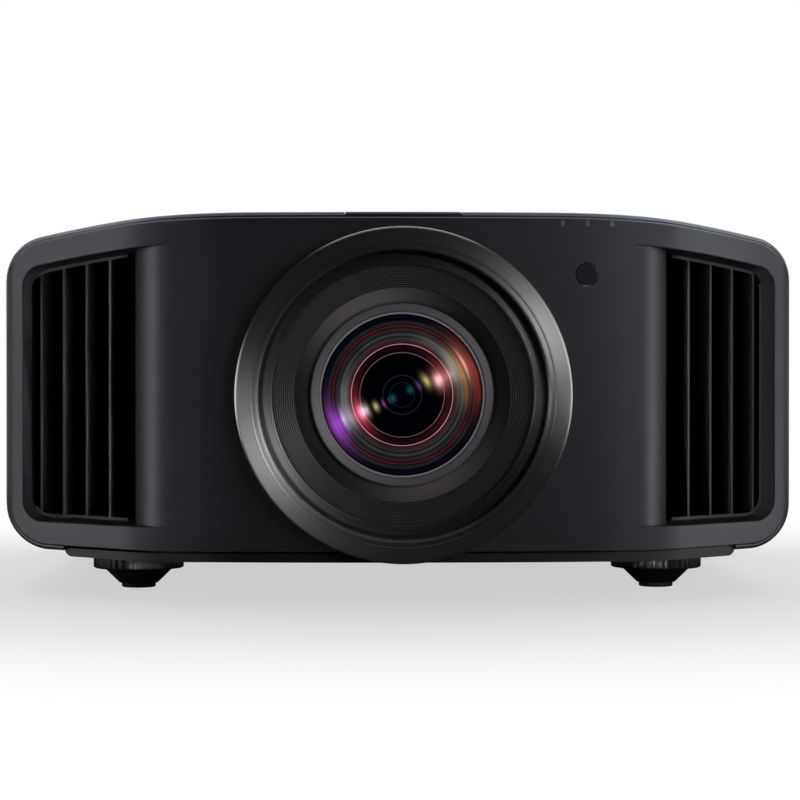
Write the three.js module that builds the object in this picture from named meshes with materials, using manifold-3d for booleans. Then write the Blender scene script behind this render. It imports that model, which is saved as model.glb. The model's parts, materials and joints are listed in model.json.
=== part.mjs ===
// A full-size home-cinema projector as an assembly of separate pieces.
// Millimetres, +Z up. The lens looks along -Y, and +X is to the right seen from the front.
// The origin is on the ground, under the middle of the projector's box.
import * as THREE from 'three';
import { mergeVertices } from 'three/addons/utils/BufferGeometryUtils.js';
import Module from 'manifold-3d';

const wasm = await Module();
wasm.setup();

// ---------------------------------------------------------------- driving dimensions

// Housing, seen from the front
const housingWidth = 500;
const housingTopZ = 234;
const coverBottomZ = 28.6;
const shoulderWidth = 160;
const halfWidth = housingWidth / 2;
const crownHalfWidth = halfWidth - shoulderWidth;
const shoulderRadius = 840;
const topCornerRadius = 30;
const bottomCornerRadius = 31;

// Housing, seen from above
const overallDepth = 518;
const trimRingProud = 10;
const frontY = -overallDepth / 2;
const rearY = overallDepth / 2;
const faceY = frontY + trimRingProud;
const faceRadius = 1100;
const faceSideWidth = 120;
const faceHalfWidth = halfWidth - faceSideWidth;
const turnRadius = 70;
const sweepAngle = THREE.MathUtils.degToRad(43);
const frontCornerRadius = 25;

// Walls and clearances
const fitGap = 0.3;
const coverWall = 2.7;
const coverSetback = 1;
const fasciaWall = 3;
const fasciaRimDepth = 11;
const sleeveWall = 2;

// Top strip
const stripWidth = 68.7;
const stripThickness = 1.2;
const stripSideGap = 0.6;
const stripRearMargin = 12;

// Bottom tray
const traySideInset = 42;
const trayWidth = housingWidth - 2 * traySideInset;
const trayBottomZ = 25;
const trayWall = 3;
const trayCornerRadius = 5;
const traySetback = 4;
const bossRadius = 10;
const bossHeight = 14;

// Side vents and louvres. The cheek is the face's rounded return into each vent.
const cheekInset = 112;
const cheekStartX = halfWidth - cheekInset;
const cheekReach = 29.5;
const cheekDepth = 44;
const cheekWall = 3;
const ventOuterInset = 13.5;
const ventOuterX = halfWidth - ventOuterInset;
const ventBottomZ = 46;
const ventTopMargin = 17.6;
const ventCornerRadius = 13;
const ventSleeveDepth = 88;
const louvreSetback = 46;
const louvreDepth = 40;
const louvreRim = 2;
const finThickness = 1.5;
const finFirstInset = 54.9;
const finFirstX = ventOuterX - finFirstInset;
const finPitch = 16;
const finCount = 4;
const finLean = THREE.MathUtils.degToRad(8);
const tieBarHeight = 2.4;
const tieBarDepth = 5;
const tieBarSetback = 60;

// Lens, measured from its axis and from the middle of the front face
const trimRingTopMargin = 9;
const trimRingRadius = (housingTopZ - trimRingTopMargin - trayBottomZ) / 2;
const lensAxisZ = trayBottomZ + trimRingRadius;
const tieBarRise = 0.5;
const tieBarZ = lensAxisZ + tieBarRise;
const trimRingBevel = 1.2;
const trimRingLipWidth = 9;
const trimRingLipRadius = trimRingRadius - trimRingLipWidth;
const trimRingSlopeWidth = 4.4;
const trimRingBore = trimRingLipRadius - trimRingSlopeWidth;
const trimRingWall = 4;
const trimRingSkirt = 12;
const ringGrooveWidth = 2.8;
const innerRingRadius = trimRingBore - ringGrooveWidth;
const innerRingWidth = 5.3;
const innerRingBore = innerRingRadius - innerRingWidth;
const innerRingFront = 3;
const innerRingFlangeReach = 11.2;
const innerRingFlangeRadius = innerRingRadius + innerRingFlangeReach;
const innerRingFlange = 2;
const hoodRunningGap = 1;
const hoodFlangeReach = 11.6;
const hoodFlange = 2;
const hoodMouthGap = 2.1;
const hoodMouthRadius = innerRingBore - hoodMouthGap;
const hoodFlangeRadius = hoodMouthRadius + hoodFlangeReach;
const hoodBaffleWidth = 11.4;
const hoodKneeRadius = hoodMouthRadius - hoodBaffleWidth;
const hoodKneeDepth = 25;
const hoodConeWidth = 9;
const hoodThroatRadius = hoodKneeRadius - hoodConeWidth;
const hoodThroatDepth = 33;
const hoodWall = 3.5;
const retainerLip = 6;
const retainerBore = hoodThroatRadius - retainerLip;
const retainerHeight = 3.2;
const glassEdge = 5.4;
const glassBulge = 7;
const barrelWall = 4;
const frontBarrelLength = 74;
const rearBarrelRadius = 42;
const rearBarrelLength = 92;
const barrelShelf = 3;
const barrelFlange = 4;
const barrelFlangeReach = 3.5;
const rearLensEdge = 8;
const rearLensSeatDepth = 10;
const ringWall = 6;
const focusRingInset = 13.2;
const focusRingLength = 25;
const zoomRingInset = 9.2;
const zoomRingLength = 25;
const pinionRadius = 8;
const pinionShaftRadius = 2;
const motorRadius = 9;
const focusMotorAngle = THREE.MathUtils.degToRad(225);
const zoomMotorAngle = THREE.MathUtils.degToRad(45);
const motorGap = 4;

// Lens-shift frames, nested in one plane behind the lens barrel
const shiftTravelX = 6.5;
const shiftTravelZ = 8;
const shiftStopGap = 1.5;
const frameGap = 15;
const frameThickness = 12;
const slideWidth = 144;
const slideTrim = 39;
const slideHeight = 2 * (trimRingRadius - slideTrim);
const slideSideGap = 0.6;
const carriageBar = 20;
const carriageRail = 12;
const mountBar = 14;
const rodRadius = 4;
const rodGap = 0.3;
const liftRodInset = 8;
const slideRodInset = 9;

// Feet
const footSideInset = 82;
const footX = halfWidth - footSideInset;
const frontFootInset = 150;
const frontFootY = frontY + frontFootInset;
const rearFootInset = 74;
const rearFootY = rearY - rearFootInset;
const knobRadius = 29.2;
const knobBottomZ = 12.6;
const knobRimHeight = 7.4;
const knobTopRadius = 26;
const coneTopRadius = 22;
const coneBottomRadius = 13;
const padRadius = 11;
const padThickness = 2.6;
const footPinRadius = 3;
const footPinHeight = 5;
const footStudRadius = 4;
const footStudGap = 0.3;
const footStudLength = 20;

// Front details
const irWindowRadius = 6.8;
const irWindowInset = 20;
const irWindowX = faceHalfWidth - irWindowInset;
const irWindowDrop = 37;
const irWindowZ = housingTopZ - irWindowDrop;
const irWindowThickness = 5;
const lightGuideInset = 34.8;
const lightGuideX = faceHalfWidth - lightGuideInset;
const lightGuidePitch = 14.9;
const lightGuideCount = 3;
const lightGuideWidth = 2.8;
const lightGuideHeight = 4.6;
const lightGuideDrop = 4.2;
const lightGuideTopZ = housingTopZ - lightGuideDrop;
const lightGuideDepth = 6;

// Rear panel
const rearPanelWall = 3;
const rearPanelRecess = 2;
const grilleInset = 70;
const grilleX = halfWidth - grilleInset;
const grilleDrop = 74;
const grilleZ = housingTopZ - grilleDrop;
const grilleSlotWidth = 5;
const grilleSlotHeight = 70;
const grilleSlotPitch = 9;
const grilleSlotCount = 10;

// Air filter behind its hinged cover
const filterInset = 70;
const filterX = filterInset - halfWidth;
const filterBottomZ = 62;
const filterTopMargin = 34;
const filterWidth = 104;
const filterHeight = housingTopZ - filterTopMargin - filterBottomZ;
const filterZ = filterBottomZ + filterHeight / 2;
const filterThickness = 14;
const filterSleeveWall = 2;
const filterCoverThickness = 2.5;
const filterCoverGap = 0.4;
const filterHingeRadius = 2.6;
const filterPinRadius = 1.2;
const filterPinLength = 1.4;
const filterSlotHeight = 4;
const filterSlotPitch = 9;
const filterSlotCount = 12;
const filterSlotMargin = 10;

// Buttons on the rear panel
const buttonTravel = 0.8;
const buttonStandoff = 0.6;
const buttonGap = 0.35;
const buttonFlange = 1.6;
const buttonFlangeThickness = 1.4;
const okRadius = 7;
const arrowWidth = 12;
const arrowHeight = 7;
const arrowReach = 15.5;
const roundButtonRadius = 5;

// Terminals
const terminalGap = 28;
const terminalWidth = 190;
const terminalX = filterX + filterWidth / 2 + terminalGap + terminalWidth / 2;
const terminalBottomZ = 44;
const terminalHeight = 46;
const terminalWall = 2;
const terminalOverlap = 4;
const socketWall = 0.8;
const socketDepth = 13;
const socketFloor = 2;
const hdmiWidth = 16.4;
const hdmiHeight = 6.6;
const hdmiOffsets = [-57, -31];
const lanWidth = 16;
const lanHeight = 14;
const lanOffset = 1;
const lanX = terminalX + lanOffset;
const jackRadius = 3;
const jackOffsets = [33, 49, 65];
const padGrilleGap = 98;
const padCentreX = grilleX - padGrilleGap;
const menuRowRise = 32;
const menuRowZ = terminalBottomZ + terminalHeight + menuRowRise;
const padRise = 28;
const padCentreZ = menuRowZ + padRise;
const powerButtonReach = 42;
const powerButtonX = padCentreX - powerButtonReach;
const powerButtonZ = padCentreZ;
const menuReach = 12;
const menuButtonX = padCentreX - menuReach;
const backButtonX = padCentreX + menuReach;
const acInletInset = 64;
const acInletX = halfWidth - acInletInset;
const acInletRise = 28;
const acInletZ = terminalBottomZ + acInletRise;
const acInletWidth = 28;
const acInletHeight = 21;
const acInletWall = 2;
const acInletDepth = 20;
const acPinWidth = 4;
const acPinHeight = 2;
const acPinLength = 14;
const acPinSpread = 7;
const acPinDrop = 2.5;

// Main board
const boardWidth = 200;
const boardLength = 84;
const boardThickness = 1.8;
const boardTopZ = 52;
const boardRearGap = 4.5;
const standoffRadius = 4;
const standoffInset = 8;
const boardChip = 34;
const boardChipHeight = 8;

// Optical block
const blockSideGap = 18;
const blockLength = 112;
const blockTopDrop = 44;
const blockTopZ = housingTopZ - blockTopDrop;
const blockWall = 10;
const blockGap = 13.2;
const blockWindowRadius = 34;
const prismSize = 50;

// Light engine
const engineInset = 100;
const engineX = halfWidth - engineInset;
const engineWidth = 104;
const engineRearMargin = 97;
const engineLength = 100;
const engineFrontY = rearY - engineRearMargin - engineLength;
const engineHeight = 84;
const engineFinHeight = 34;
const engineFinThickness = 2;
const engineFinCount = 12;
const wheelOffset = 2;
const wheelX = engineX - wheelOffset;
const wheelZ = 84;
const wheelRadius = 34;
const wheelThickness = 2;
const wheelHubRadius = 9;
const wheelHubLength = 8;
const wheelPinRadius = 2.5;
const wheelMotorRadius = 12;
const wheelMotorLength = 10;

// Power supply
const supplyInset = 100;
const supplyX = supplyInset - halfWidth;
const supplyWidth = 104;
const supplyFanGap = 16;
const supplyRearMargin = 95;
const supplyHeight = 86;
const supplyWall = 2;
const supplySlotMargin = 12;
const supplySlotWidth = 4;
const supplySlotPitch = 20;

// Exhaust fans
const fanInset = 60;
const fanX = halfWidth - fanInset;
const fanSetback = 187;
const fanFrontY = faceY + fanSetback;
const fanFrameDepth = 26;
const fanFrameWidth = 92;
const fanLegWidth = 24;
const fanTopMargin = 22;
const fanZ = (ventBottomZ + housingTopZ - fanTopMargin) / 2;
const fanBore = 43;
const fanTipGap = 1.6;
const fanHubRadius = 17;
const fanHubLength = 16;
const fanBladeCount = 7;
const fanBladeChord = 16;
const fanBladeThickness = 1.8;
const fanBladePitch = THREE.MathUtils.degToRad(38);
const fanStrut = 4;
const fanMotorRadius = 15;
const fanPinRadius = 2.5;

// ---------------------------------------------------------------- derived planes

const fasciaInset = coverWall + fitGap;
const rearPanelY = rearY - rearPanelRecess;
const rearPanelInnerY = rearPanelY - rearPanelWall;
const trayFloorZ = trayBottomZ + trayWall;
const seatZ = trayFloorZ + fitGap;
const overlap = 1;

// ---------------------------------------------------------------- solids

// Turns a three.js geometry into a closed solid.
function solid(geometry) {
  geometry.deleteAttribute('normal');
  geometry.deleteAttribute('uv');
  const merged = mergeVertices(geometry, 1e-4);
  return new wasm.Manifold(new wasm.Mesh({
    numProp: 3,
    vertProperties: new Float32Array(merged.attributes.position.array),
    triVerts: new Uint32Array(merged.index.array),
  }));
}

// Turns a solid back into a three.js geometry with flat faces.
function geometryOf(body) {
  const mesh = body.getMesh();
  const indexed = new THREE.BufferGeometry();
  indexed.setAttribute('position', new THREE.BufferAttribute(mesh.vertProperties, 3));
  indexed.setIndex(new THREE.BufferAttribute(mesh.triVerts, 1));
  const geometry = indexed.toNonIndexed();
  geometry.computeVertexNormals();
  return geometry;
}

function box(x0, x1, y0, y1, z0, z1) {
  const geometry = new THREE.BoxGeometry(x1 - x0, y1 - y0, z1 - z0);
  geometry.translate((x0 + x1) / 2, (y0 + y1) / 2, (z0 + z1) / 2);
  return solid(geometry);
}

// A shape drawn in X and Z, from y0 to y1.
function alongY(shape, y0, y1, curveSegments = 4) {
  const geometry = new THREE.ExtrudeGeometry(shape, { depth: y1 - y0, bevelEnabled: false, curveSegments });
  geometry.rotateX(Math.PI / 2);
  geometry.translate(0, y1, 0);
  return solid(geometry);
}

// A shape drawn in X and Y, from z0 to z1.
function alongZ(shape, z0, z1, curveSegments = 4) {
  const geometry = new THREE.ExtrudeGeometry(shape, { depth: z1 - z0, bevelEnabled: false, curveSegments });
  geometry.translate(0, 0, z0);
  return solid(geometry);
}

// Profile points are [radius, height], counter-clockwise.
function turned(profile, segments) {
  const points = profile.map(([radius, height]) => new THREE.Vector2(radius, height));
  return new THREE.LatheGeometry(points, segments);
}

function turnedAboutY(profile, segments = 32) {
  return solid(turned(profile, segments));
}

function turnedAboutZ(profile, segments = 16) {
  return solid(turned(profile, segments).rotateX(Math.PI / 2));
}

function ringProfile(inner, outer, low, high) {
  return [[inner, low], [outer, low], [outer, high], [inner, high], [inner, low]];
}

function discProfile(radius, low, high) {
  return [[0, low], [radius, low], [radius, high], [0, high]];
}

function rodAlongX(radius, x0, x1, y, z, segments = 16) {
  const geometry = new THREE.CylinderGeometry(radius, radius, x1 - x0, segments);
  geometry.rotateZ(Math.PI / 2);
  geometry.translate((x0 + x1) / 2, y, z);
  return solid(geometry);
}

function rodAlongY(radius, x, y0, y1, z, segments = 20) {
  const geometry = new THREE.CylinderGeometry(radius, radius, y1 - y0, segments);
  geometry.translate(x, (y0 + y1) / 2, z);
  return solid(geometry);
}

function rodAlongZ(radius, x, y, z0, z1, segments = 16) {
  const geometry = new THREE.CylinderGeometry(radius, radius, z1 - z0, segments);
  geometry.rotateX(Math.PI / 2);
  geometry.translate(x, y, (z0 + z1) / 2);
  return solid(geometry);
}

function union(bodies) {
  return bodies.reduce((sum, body) => sum.add(body));
}

// ---------------------------------------------------------------- shared outlines

// A box seen from the front with a crowned top. The crown is flat in the middle and
// falls along an arc to each shoulder. topInset lowers the whole crown.
function crownedShape({ half, topInset, bottomZ, topRadius, bottomRadius }) {
  const shoulderZ = housingTopZ - shoulderRadius;
  const crownRadius = shoulderRadius - topInset;
  const cornerX = half - topRadius;
  const reach = crownRadius - topRadius;
  const cornerZ = shoulderZ + Math.sqrt(reach ** 2 - (cornerX - crownHalfWidth) ** 2);
  const lean = Math.atan2(cornerZ - shoulderZ, cornerX - crownHalfWidth);
  const footX0 = half - bottomRadius;
  const footZ0 = bottomZ + bottomRadius;
  const shape = new THREE.Shape();
  shape.moveTo(-footX0, bottomZ);
  shape.lineTo(footX0, bottomZ);
  shape.absarc(footX0, footZ0, bottomRadius, -Math.PI / 2, 0);
  shape.absarc(cornerX, cornerZ, topRadius, 0, lean);
  shape.absarc(crownHalfWidth, shoulderZ, crownRadius, lean, Math.PI / 2);
  shape.absarc(-crownHalfWidth, shoulderZ, crownRadius, Math.PI / 2, Math.PI - lean);
  shape.absarc(-cornerX, cornerZ, topRadius, Math.PI - lean, Math.PI);
  shape.absarc(-footX0, footZ0, bottomRadius, Math.PI, Math.PI * 1.5);
  return shape;
}

// The housing's outline, moved inwards by inset.
function housingShape(inset) {
  return crownedShape({
    half: halfWidth - inset,
    topInset: inset,
    bottomZ: coverBottomZ + inset,
    topRadius: topCornerRadius - inset,
    bottomRadius: bottomCornerRadius - inset,
  });
}

// Arc centres of the front face seen from above.
const faceTurn = Math.asin(faceHalfWidth / faceRadius);
const turnCentreX = (faceRadius - turnRadius) * Math.sin(faceTurn);
const turnCentreY = faceY + faceRadius - (faceRadius - turnRadius) * Math.cos(faceTurn);
const cornerCentreX = halfWidth - frontCornerRadius;
const sweepStartX = turnCentreX + turnRadius * Math.sin(sweepAngle);
const sweepStartY = turnCentreY - turnRadius * Math.cos(sweepAngle);
const sweepEndX = cornerCentreX + frontCornerRadius * Math.sin(sweepAngle);
const sweepEndY = sweepStartY + (sweepEndX - sweepStartX) * Math.tan(sweepAngle);
const cornerCentreY = sweepEndY + frontCornerRadius * Math.cos(sweepAngle);

// How far back the front face lies at x: middle arc, turn arc, then the straight sweep.
function faceYAt(x) {
  const reach = Math.abs(x);
  if (reach <= faceHalfWidth) {
    return faceY + faceRadius - Math.sqrt(faceRadius ** 2 - reach ** 2);
  }
  if (reach <= sweepStartX) {
    return turnCentreY - Math.sqrt(turnRadius ** 2 - (reach - turnCentreX) ** 2);
  }
  return sweepStartY + (reach - sweepStartX) * Math.tan(sweepAngle);
}

// Everything behind the front face, moved inwards by inset and back by shift.
function planShape(inset, shift) {
  const side = halfWidth - inset;
  const down = Math.PI * 1.5;
  const back = rearY + housingWidth;
  const cornerY = cornerCentreY + shift;
  const cornerRadius = frontCornerRadius - inset;
  const turnY = turnCentreY + shift;
  const innerTurn = turnRadius - inset;
  const shape = new THREE.Shape();
  shape.moveTo(side, back);
  shape.lineTo(-side, back);
  shape.absarc(-cornerCentreX, cornerY, cornerRadius, Math.PI, down - sweepAngle);
  shape.absarc(-turnCentreX, turnY, innerTurn, down - sweepAngle, down - faceTurn);
  shape.absarc(0, faceY + faceRadius + shift, faceRadius - inset, down - faceTurn, down + faceTurn);
  shape.absarc(turnCentreX, turnY, innerTurn, down + faceTurn, down + sweepAngle);
  shape.absarc(cornerCentreX, cornerY, cornerRadius, down + sweepAngle, Math.PI * 2);
  return shape;
}

function behindFace(inset, shift) {
  return alongZ(planShape(inset, shift), -housingTopZ, housingTopZ * 2);
}

// Stock between the front plane and the rear plane with a given front outline.
function stock(shape) {
  return alongY(shape, frontY - overallDepth, rearY);
}

// ---------------------------------------------------------------- scene graph

const projector = new THREE.Group();

function material(color, roughness, metalness = 0) {
  return new THREE.MeshStandardMaterial({ color, roughness, metalness });
}

const finishes = {
  casing: material(0x1d1e21, 0.6),
  panel: material(0x232428, 0.5),
  strip: material(0x2b2c30, 0.45),
  dark: material(0x101012, 0.7),
  gunmetal: material(0x4a4b50, 0.3, 0.9),
  satin: material(0x6f7480, 0.35, 0.9),
  baffle: material(0x0e0e0f, 0.75),
  glass: material(0x14101c, 0.05),
  window: material(0x1e1c26, 0.15),
  rubber: material(0x1a1a1a, 0.9),
  steel: material(0xa8abb0, 0.35, 0.9),
  zinc: material(0x8d9094, 0.45, 0.8),
  board: material(0x1d5c34, 0.6),
  brass: material(0xb59a52, 0.35, 0.9),
  guide: material(0x8e9aa8, 0.25),
  foam: material(0x2c2c2c, 0.95),
  key: material(0x2a2b2f, 0.4),
};

function addPart(parent, name, body, finish) {
  const mesh = new THREE.Mesh(geometryOf(body), finish);
  mesh.name = name;
  parent.add(mesh);
  return mesh;
}

// ---------------------------------------------------------------- vents and louvres

// The cheek is a quarter ellipse that leaves the face at its own slope.
const cheekStartY = faceYAt(cheekStartX);
const cheekSlope = (cheekStartX - turnCentreX) / (turnCentreY - cheekStartY);
const cheekTurn = Math.atan((cheekSlope * cheekReach) / cheekDepth);
const cheekCentreX = cheekStartX - cheekReach * Math.sin(cheekTurn);
const cheekCentreY = cheekStartY + cheekDepth * Math.cos(cheekTurn);

// The vent seen from above on the right, with its inner side moved into the cheek by grow.
function ventPlan(grow) {
  const front = frontY - overallDepth;
  const reach = cheekReach - grow;
  const depth = cheekDepth - grow;
  const start = cheekTurn - Math.PI / 2;
  const shape = new THREE.Shape();
  shape.moveTo(housingWidth, rearY);
  shape.lineTo(cheekCentreX + reach, rearY);
  shape.absellipse(cheekCentreX, cheekCentreY, reach, depth, 0, start, true, 0);
  shape.lineTo(cheekCentreX + reach * Math.sin(cheekTurn), front);
  shape.lineTo(housingWidth, front);
  return shape;
}

// A vent's space on one side: side is 1 on the right and -1 on the left.
function ventStock(side, grow, cheekGrow) {
  const outline = crownedShape({
    half: ventOuterX + grow,
    topInset: ventTopMargin - grow,
    bottomZ: ventBottomZ - grow,
    topRadius: ventCornerRadius + grow,
    bottomRadius: ventCornerRadius + grow,
  });
  const plan = alongZ(ventPlan(cheekGrow), 0, housingTopZ);
  return stock(outline).intersect(side > 0 ? plan : plan.mirror([1, 0, 0]));
}

function ventSleeve(side) {
  return ventStock(side, sleeveWall, cheekWall)
    .intersect(behindFace(0, 0))
    .subtract(behindFace(0, ventSleeveDepth));
}

// A fin stands on edge and leans so that its rear is nearer the lens.
function fin(side, x) {
  const halfThickness = finThickness / 2;
  const front = faceYAt(x) + louvreSetback;
  const run = overallDepth / 2;
  const lean = run * Math.tan(finLean);
  const shape = new THREE.Shape();
  shape.moveTo(side * (x + lean - halfThickness), front - run);
  shape.lineTo(side * (x + lean + halfThickness), front - run);
  shape.lineTo(side * (x - lean + halfThickness), front + run);
  shape.lineTo(side * (x - lean - halfThickness), front + run);
  return alongZ(shape, 0, housingTopZ);
}

function louvre(side) {
  const inside = ventStock(side, -fitGap - louvreRim / 2, -fitGap - louvreRim / 2);
  const frame = ventStock(side, -fitGap, -fitGap)
    .subtract(ventStock(side, -fitGap - louvreRim, -fitGap - louvreRim));
  const fins = [];
  for (let i = 0; i < finCount; i += 1) {
    fins.push(fin(side, finFirstX + i * finPitch));
  }
  const grille = frame.add(union(fins).intersect(inside))
    .intersect(behindFace(0, louvreSetback))
    .subtract(behindFace(0, louvreSetback + louvreDepth));
  const halfBar = tieBarHeight / 2;
  const bar = box(-housingWidth, housingWidth, frontY, rearY, tieBarZ - halfBar, tieBarZ + halfBar)
    .intersect(inside)
    .intersect(behindFace(0, tieBarSetback))
    .subtract(behindFace(0, tieBarSetback + tieBarDepth));
  return grille.add(bar);
}

addPart(projector, 'louvre_left', louvre(-1), finishes.dark);
addPart(projector, 'louvre_right', louvre(1), finishes.dark);

// ---------------------------------------------------------------- front details

function pill(width, height, centreX, centreZ) {
  const radius = width / 2;
  const rise = height / 2 - radius;
  const shape = new THREE.Shape();
  shape.absarc(centreX, centreZ + rise, radius, 0, Math.PI);
  shape.absarc(centreX, centreZ - rise, radius, Math.PI, Math.PI * 2);
  return shape;
}

const lightGuideZ = lightGuideTopZ - lightGuideHeight / 2;
const lightGuidePlaces = [];
for (let i = 0; i < lightGuideCount; i += 1) {
  lightGuidePlaces.push(lightGuideX + i * lightGuidePitch);
}

lightGuidePlaces.forEach((x, i) => {
  const front = faceYAt(x);
  const guide = alongY(pill(lightGuideWidth, lightGuideHeight, 0, 0), 0, lightGuideDepth, 3);
  const mesh = addPart(projector, `light_guide_${i + 1}`, guide, finishes.guide);
  mesh.position.set(x, front, lightGuideZ);
});

const irWindow = rodAlongY(irWindowRadius, 0, 0, irWindowThickness, 0);
addPart(projector, 'ir_window', irWindow, finishes.window).position
  .set(irWindowX, faceYAt(irWindowX), irWindowZ);

// ---------------------------------------------------------------- front fascia

// The round cut that the trim ring's skirt fits into.
const lensCut = rodAlongY(
  trimRingRadius + fitGap,
  0,
  frontY - overlap,
  faceY + trimRingSkirt + fitGap,
  lensAxisZ,
  48,
);

function frontFascia() {
  const skin = stock(housingShape(fasciaInset)).intersect(behindFace(0, 0));
  const hollow = stock(housingShape(fasciaInset + fasciaWall)).intersect(behindFace(fasciaWall, 0));
  let body = skin.subtract(hollow).subtract(behindFace(0, fasciaRimDepth));
  for (const side of [-1, 1]) {
    body = body.add(ventSleeve(side)).subtract(ventStock(side, 0, 0));
  }
  body = body.subtract(lensCut);
  const windowBore = rodAlongY(
    irWindowRadius + fitGap,
    irWindowX,
    faceY - overlap,
    faceYAt(irWindowX) + irWindowThickness + fitGap,
    irWindowZ,
  );
  body = body.subtract(windowBore);
  for (const x of lightGuidePlaces) {
    const slot = pill(lightGuideWidth + fitGap * 2, lightGuideHeight + fitGap * 2, x, lightGuideZ);
    body = body.subtract(alongY(slot, faceY - overlap, faceYAt(x) + lightGuideDepth + fitGap, 3));
  }
  return body;
}

addPart(projector, 'front_fascia', frontFascia(), finishes.casing);

// ---------------------------------------------------------------- top cover and strip

function stripStock(sideGap, depthBelowTop, rearMargin) {
  const half = stripWidth / 2 + sideGap;
  return box(
    -half,
    half,
    frontY - overlap,
    rearY - rearMargin,
    housingTopZ - depthBelowTop,
    housingTopZ + overlap,
  );
}

function topCover() {
  const shell = stock(housingShape(0)).subtract(stock(housingShape(coverWall)));
  const halfTray = trayWidth / 2 + fitGap;
  const trayGap = box(-halfTray, halfTray, frontY, rearY + overlap, 0, coverBottomZ + coverWall * 2);
  return shell
    .intersect(behindFace(0, coverSetback))
    .subtract(trayGap)
    .subtract(stripStock(stripSideGap, stripThickness + fitGap, stripRearMargin - stripSideGap));
}

addPart(projector, 'top_cover', topCover(), finishes.casing);

const topStrip = stock(housingShape(0))
  .intersect(behindFace(0, coverSetback))
  .intersect(stripStock(0, stripThickness, stripRearMargin));
addPart(projector, 'top_center_strip', topStrip, finishes.strip);

// ---------------------------------------------------------------- bottom tray

const trayRimZ = coverBottomZ + fasciaInset - fitGap;

function trayShape(inset) {
  const half = trayWidth / 2 - inset;
  const radius = trayCornerRadius - inset;
  const low = trayBottomZ + inset;
  const shape = new THREE.Shape();
  shape.moveTo(-half, trayRimZ + inset);
  shape.absarc(-half + radius, low + radius, radius, Math.PI, Math.PI * 1.5);
  shape.absarc(half - radius, low + radius, radius, Math.PI * 1.5, Math.PI * 2);
  shape.lineTo(half, trayRimZ + inset);
  return shape;
}

const footPlaces = [
  ['front_left', -footX, frontFootY],
  ['front_right', footX, frontFootY],
  ['rear_left', -footX, rearFootY],
  ['rear_right', footX, rearFootY],
];

function bottomTray() {
  const outer = alongY(trayShape(0), frontY, rearPanelY).intersect(behindFace(0, traySetback));
  const inner = alongY(trayShape(trayWall), frontY, rearPanelY - trayWall)
    .intersect(behindFace(0, traySetback + trayWall));
  let body = outer.subtract(inner);
  for (const [, x, y] of footPlaces) {
    const boss = rodAlongZ(bossRadius, x, y, trayBottomZ + trayWall / 2, trayFloorZ + bossHeight);
    const bore = rodAlongZ(footStudRadius + footStudGap, x, y, 0, housingTopZ);
    body = body.add(boss).subtract(bore);
  }
  return body.subtract(lensCut);
}

addPart(projector, 'bottom_tray', bottomTray(), finishes.dark);

// ---------------------------------------------------------------- feet

const knobTopZ = trayBottomZ - footStudGap;
const coneBottomZ = padThickness + fitGap;

const footKnob = turnedAboutZ([
  [0, coneBottomZ + footPinHeight],
  [footPinRadius + fitGap, coneBottomZ + footPinHeight],
  [footPinRadius + fitGap, coneBottomZ],
  [coneBottomRadius, coneBottomZ],
  [coneTopRadius, knobBottomZ],
  [knobRadius, knobBottomZ],
  [knobRadius, knobBottomZ + knobRimHeight],
  [knobTopRadius, knobTopZ],
  [footStudRadius, knobTopZ],
  [footStudRadius, knobTopZ + footStudLength],
  [0, knobTopZ + footStudLength],
]);

const footPad = turnedAboutZ([
  [0, 0],
  [padRadius, 0],
  [padRadius, padThickness],
  [footPinRadius, padThickness],
  [footPinRadius, padThickness + footPinHeight],
  [0, padThickness + footPinHeight],
]);

for (const [place, x, y] of footPlaces) {
  addPart(projector, `foot_knob_${place}`, footKnob, finishes.casing).position.set(x, y, 0);
  addPart(projector, `foot_pad_${place}`, footPad, finishes.rubber).position.set(x, y, 0);
}

// ---------------------------------------------------------------- lens

// Everything here is turned about the lens axis. Heights run back from the front face.
const lens = new THREE.Group();
lens.position.set(0, faceY, lensAxisZ);
projector.add(lens);

const trimRing = turnedAboutY([
  [trimRingBore, -trimRingProud + trimRingWall],
  [trimRingLipRadius, -trimRingProud],
  [trimRingRadius - trimRingBevel, -trimRingProud],
  [trimRingRadius, -trimRingProud + trimRingBevel],
  [trimRingRadius, trimRingSkirt],
  [trimRingRadius - trimRingWall, trimRingSkirt],
  [trimRingRadius - trimRingWall, trimRingSkirt - trimRingWall],
  [trimRingBore, trimRingSkirt - trimRingWall],
  [trimRingBore, -trimRingProud + trimRingWall],
], 48);
addPart(lens, 'lens_trim_ring', trimRing, finishes.gunmetal);

const innerRingSeat = trimRingSkirt - trimRingWall + fitGap;
const innerRing = turnedAboutY([
  [innerRingBore, innerRingFront],
  [innerRingRadius, innerRingFront],
  [innerRingRadius, innerRingSeat],
  [innerRingFlangeRadius, innerRingSeat],
  [innerRingFlangeRadius, innerRingSeat + innerRingFlange],
  [innerRingBore, innerRingSeat + innerRingFlange],
  [innerRingBore, innerRingFront],
], 40);
addPart(lens, 'lens_inner_ring', innerRing, finishes.satin);

const hoodFrontDepth = Math.max(innerRingSeat + innerRingFlange, trimRingSkirt) + hoodRunningGap;
const hoodRearDepth = hoodThroatDepth + hoodWall;
const lensHood = turnedAboutY([
  [hoodMouthRadius, hoodFrontDepth],
  [hoodFlangeRadius, hoodFrontDepth],
  [hoodFlangeRadius, hoodFrontDepth + hoodFlange],
  [hoodMouthRadius + hoodWall, hoodFrontDepth + hoodFlange],
  [hoodKneeRadius + hoodWall, hoodKneeDepth + hoodWall / 2],
  [hoodThroatRadius + hoodWall, hoodRearDepth],
  [hoodThroatRadius, hoodRearDepth],
  [hoodThroatRadius, hoodThroatDepth],
  [hoodKneeRadius, hoodKneeDepth],
  [hoodMouthRadius, hoodFrontDepth],
], 40);
addPart(lens, 'lens_hood', lensHood, finishes.baffle);

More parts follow.
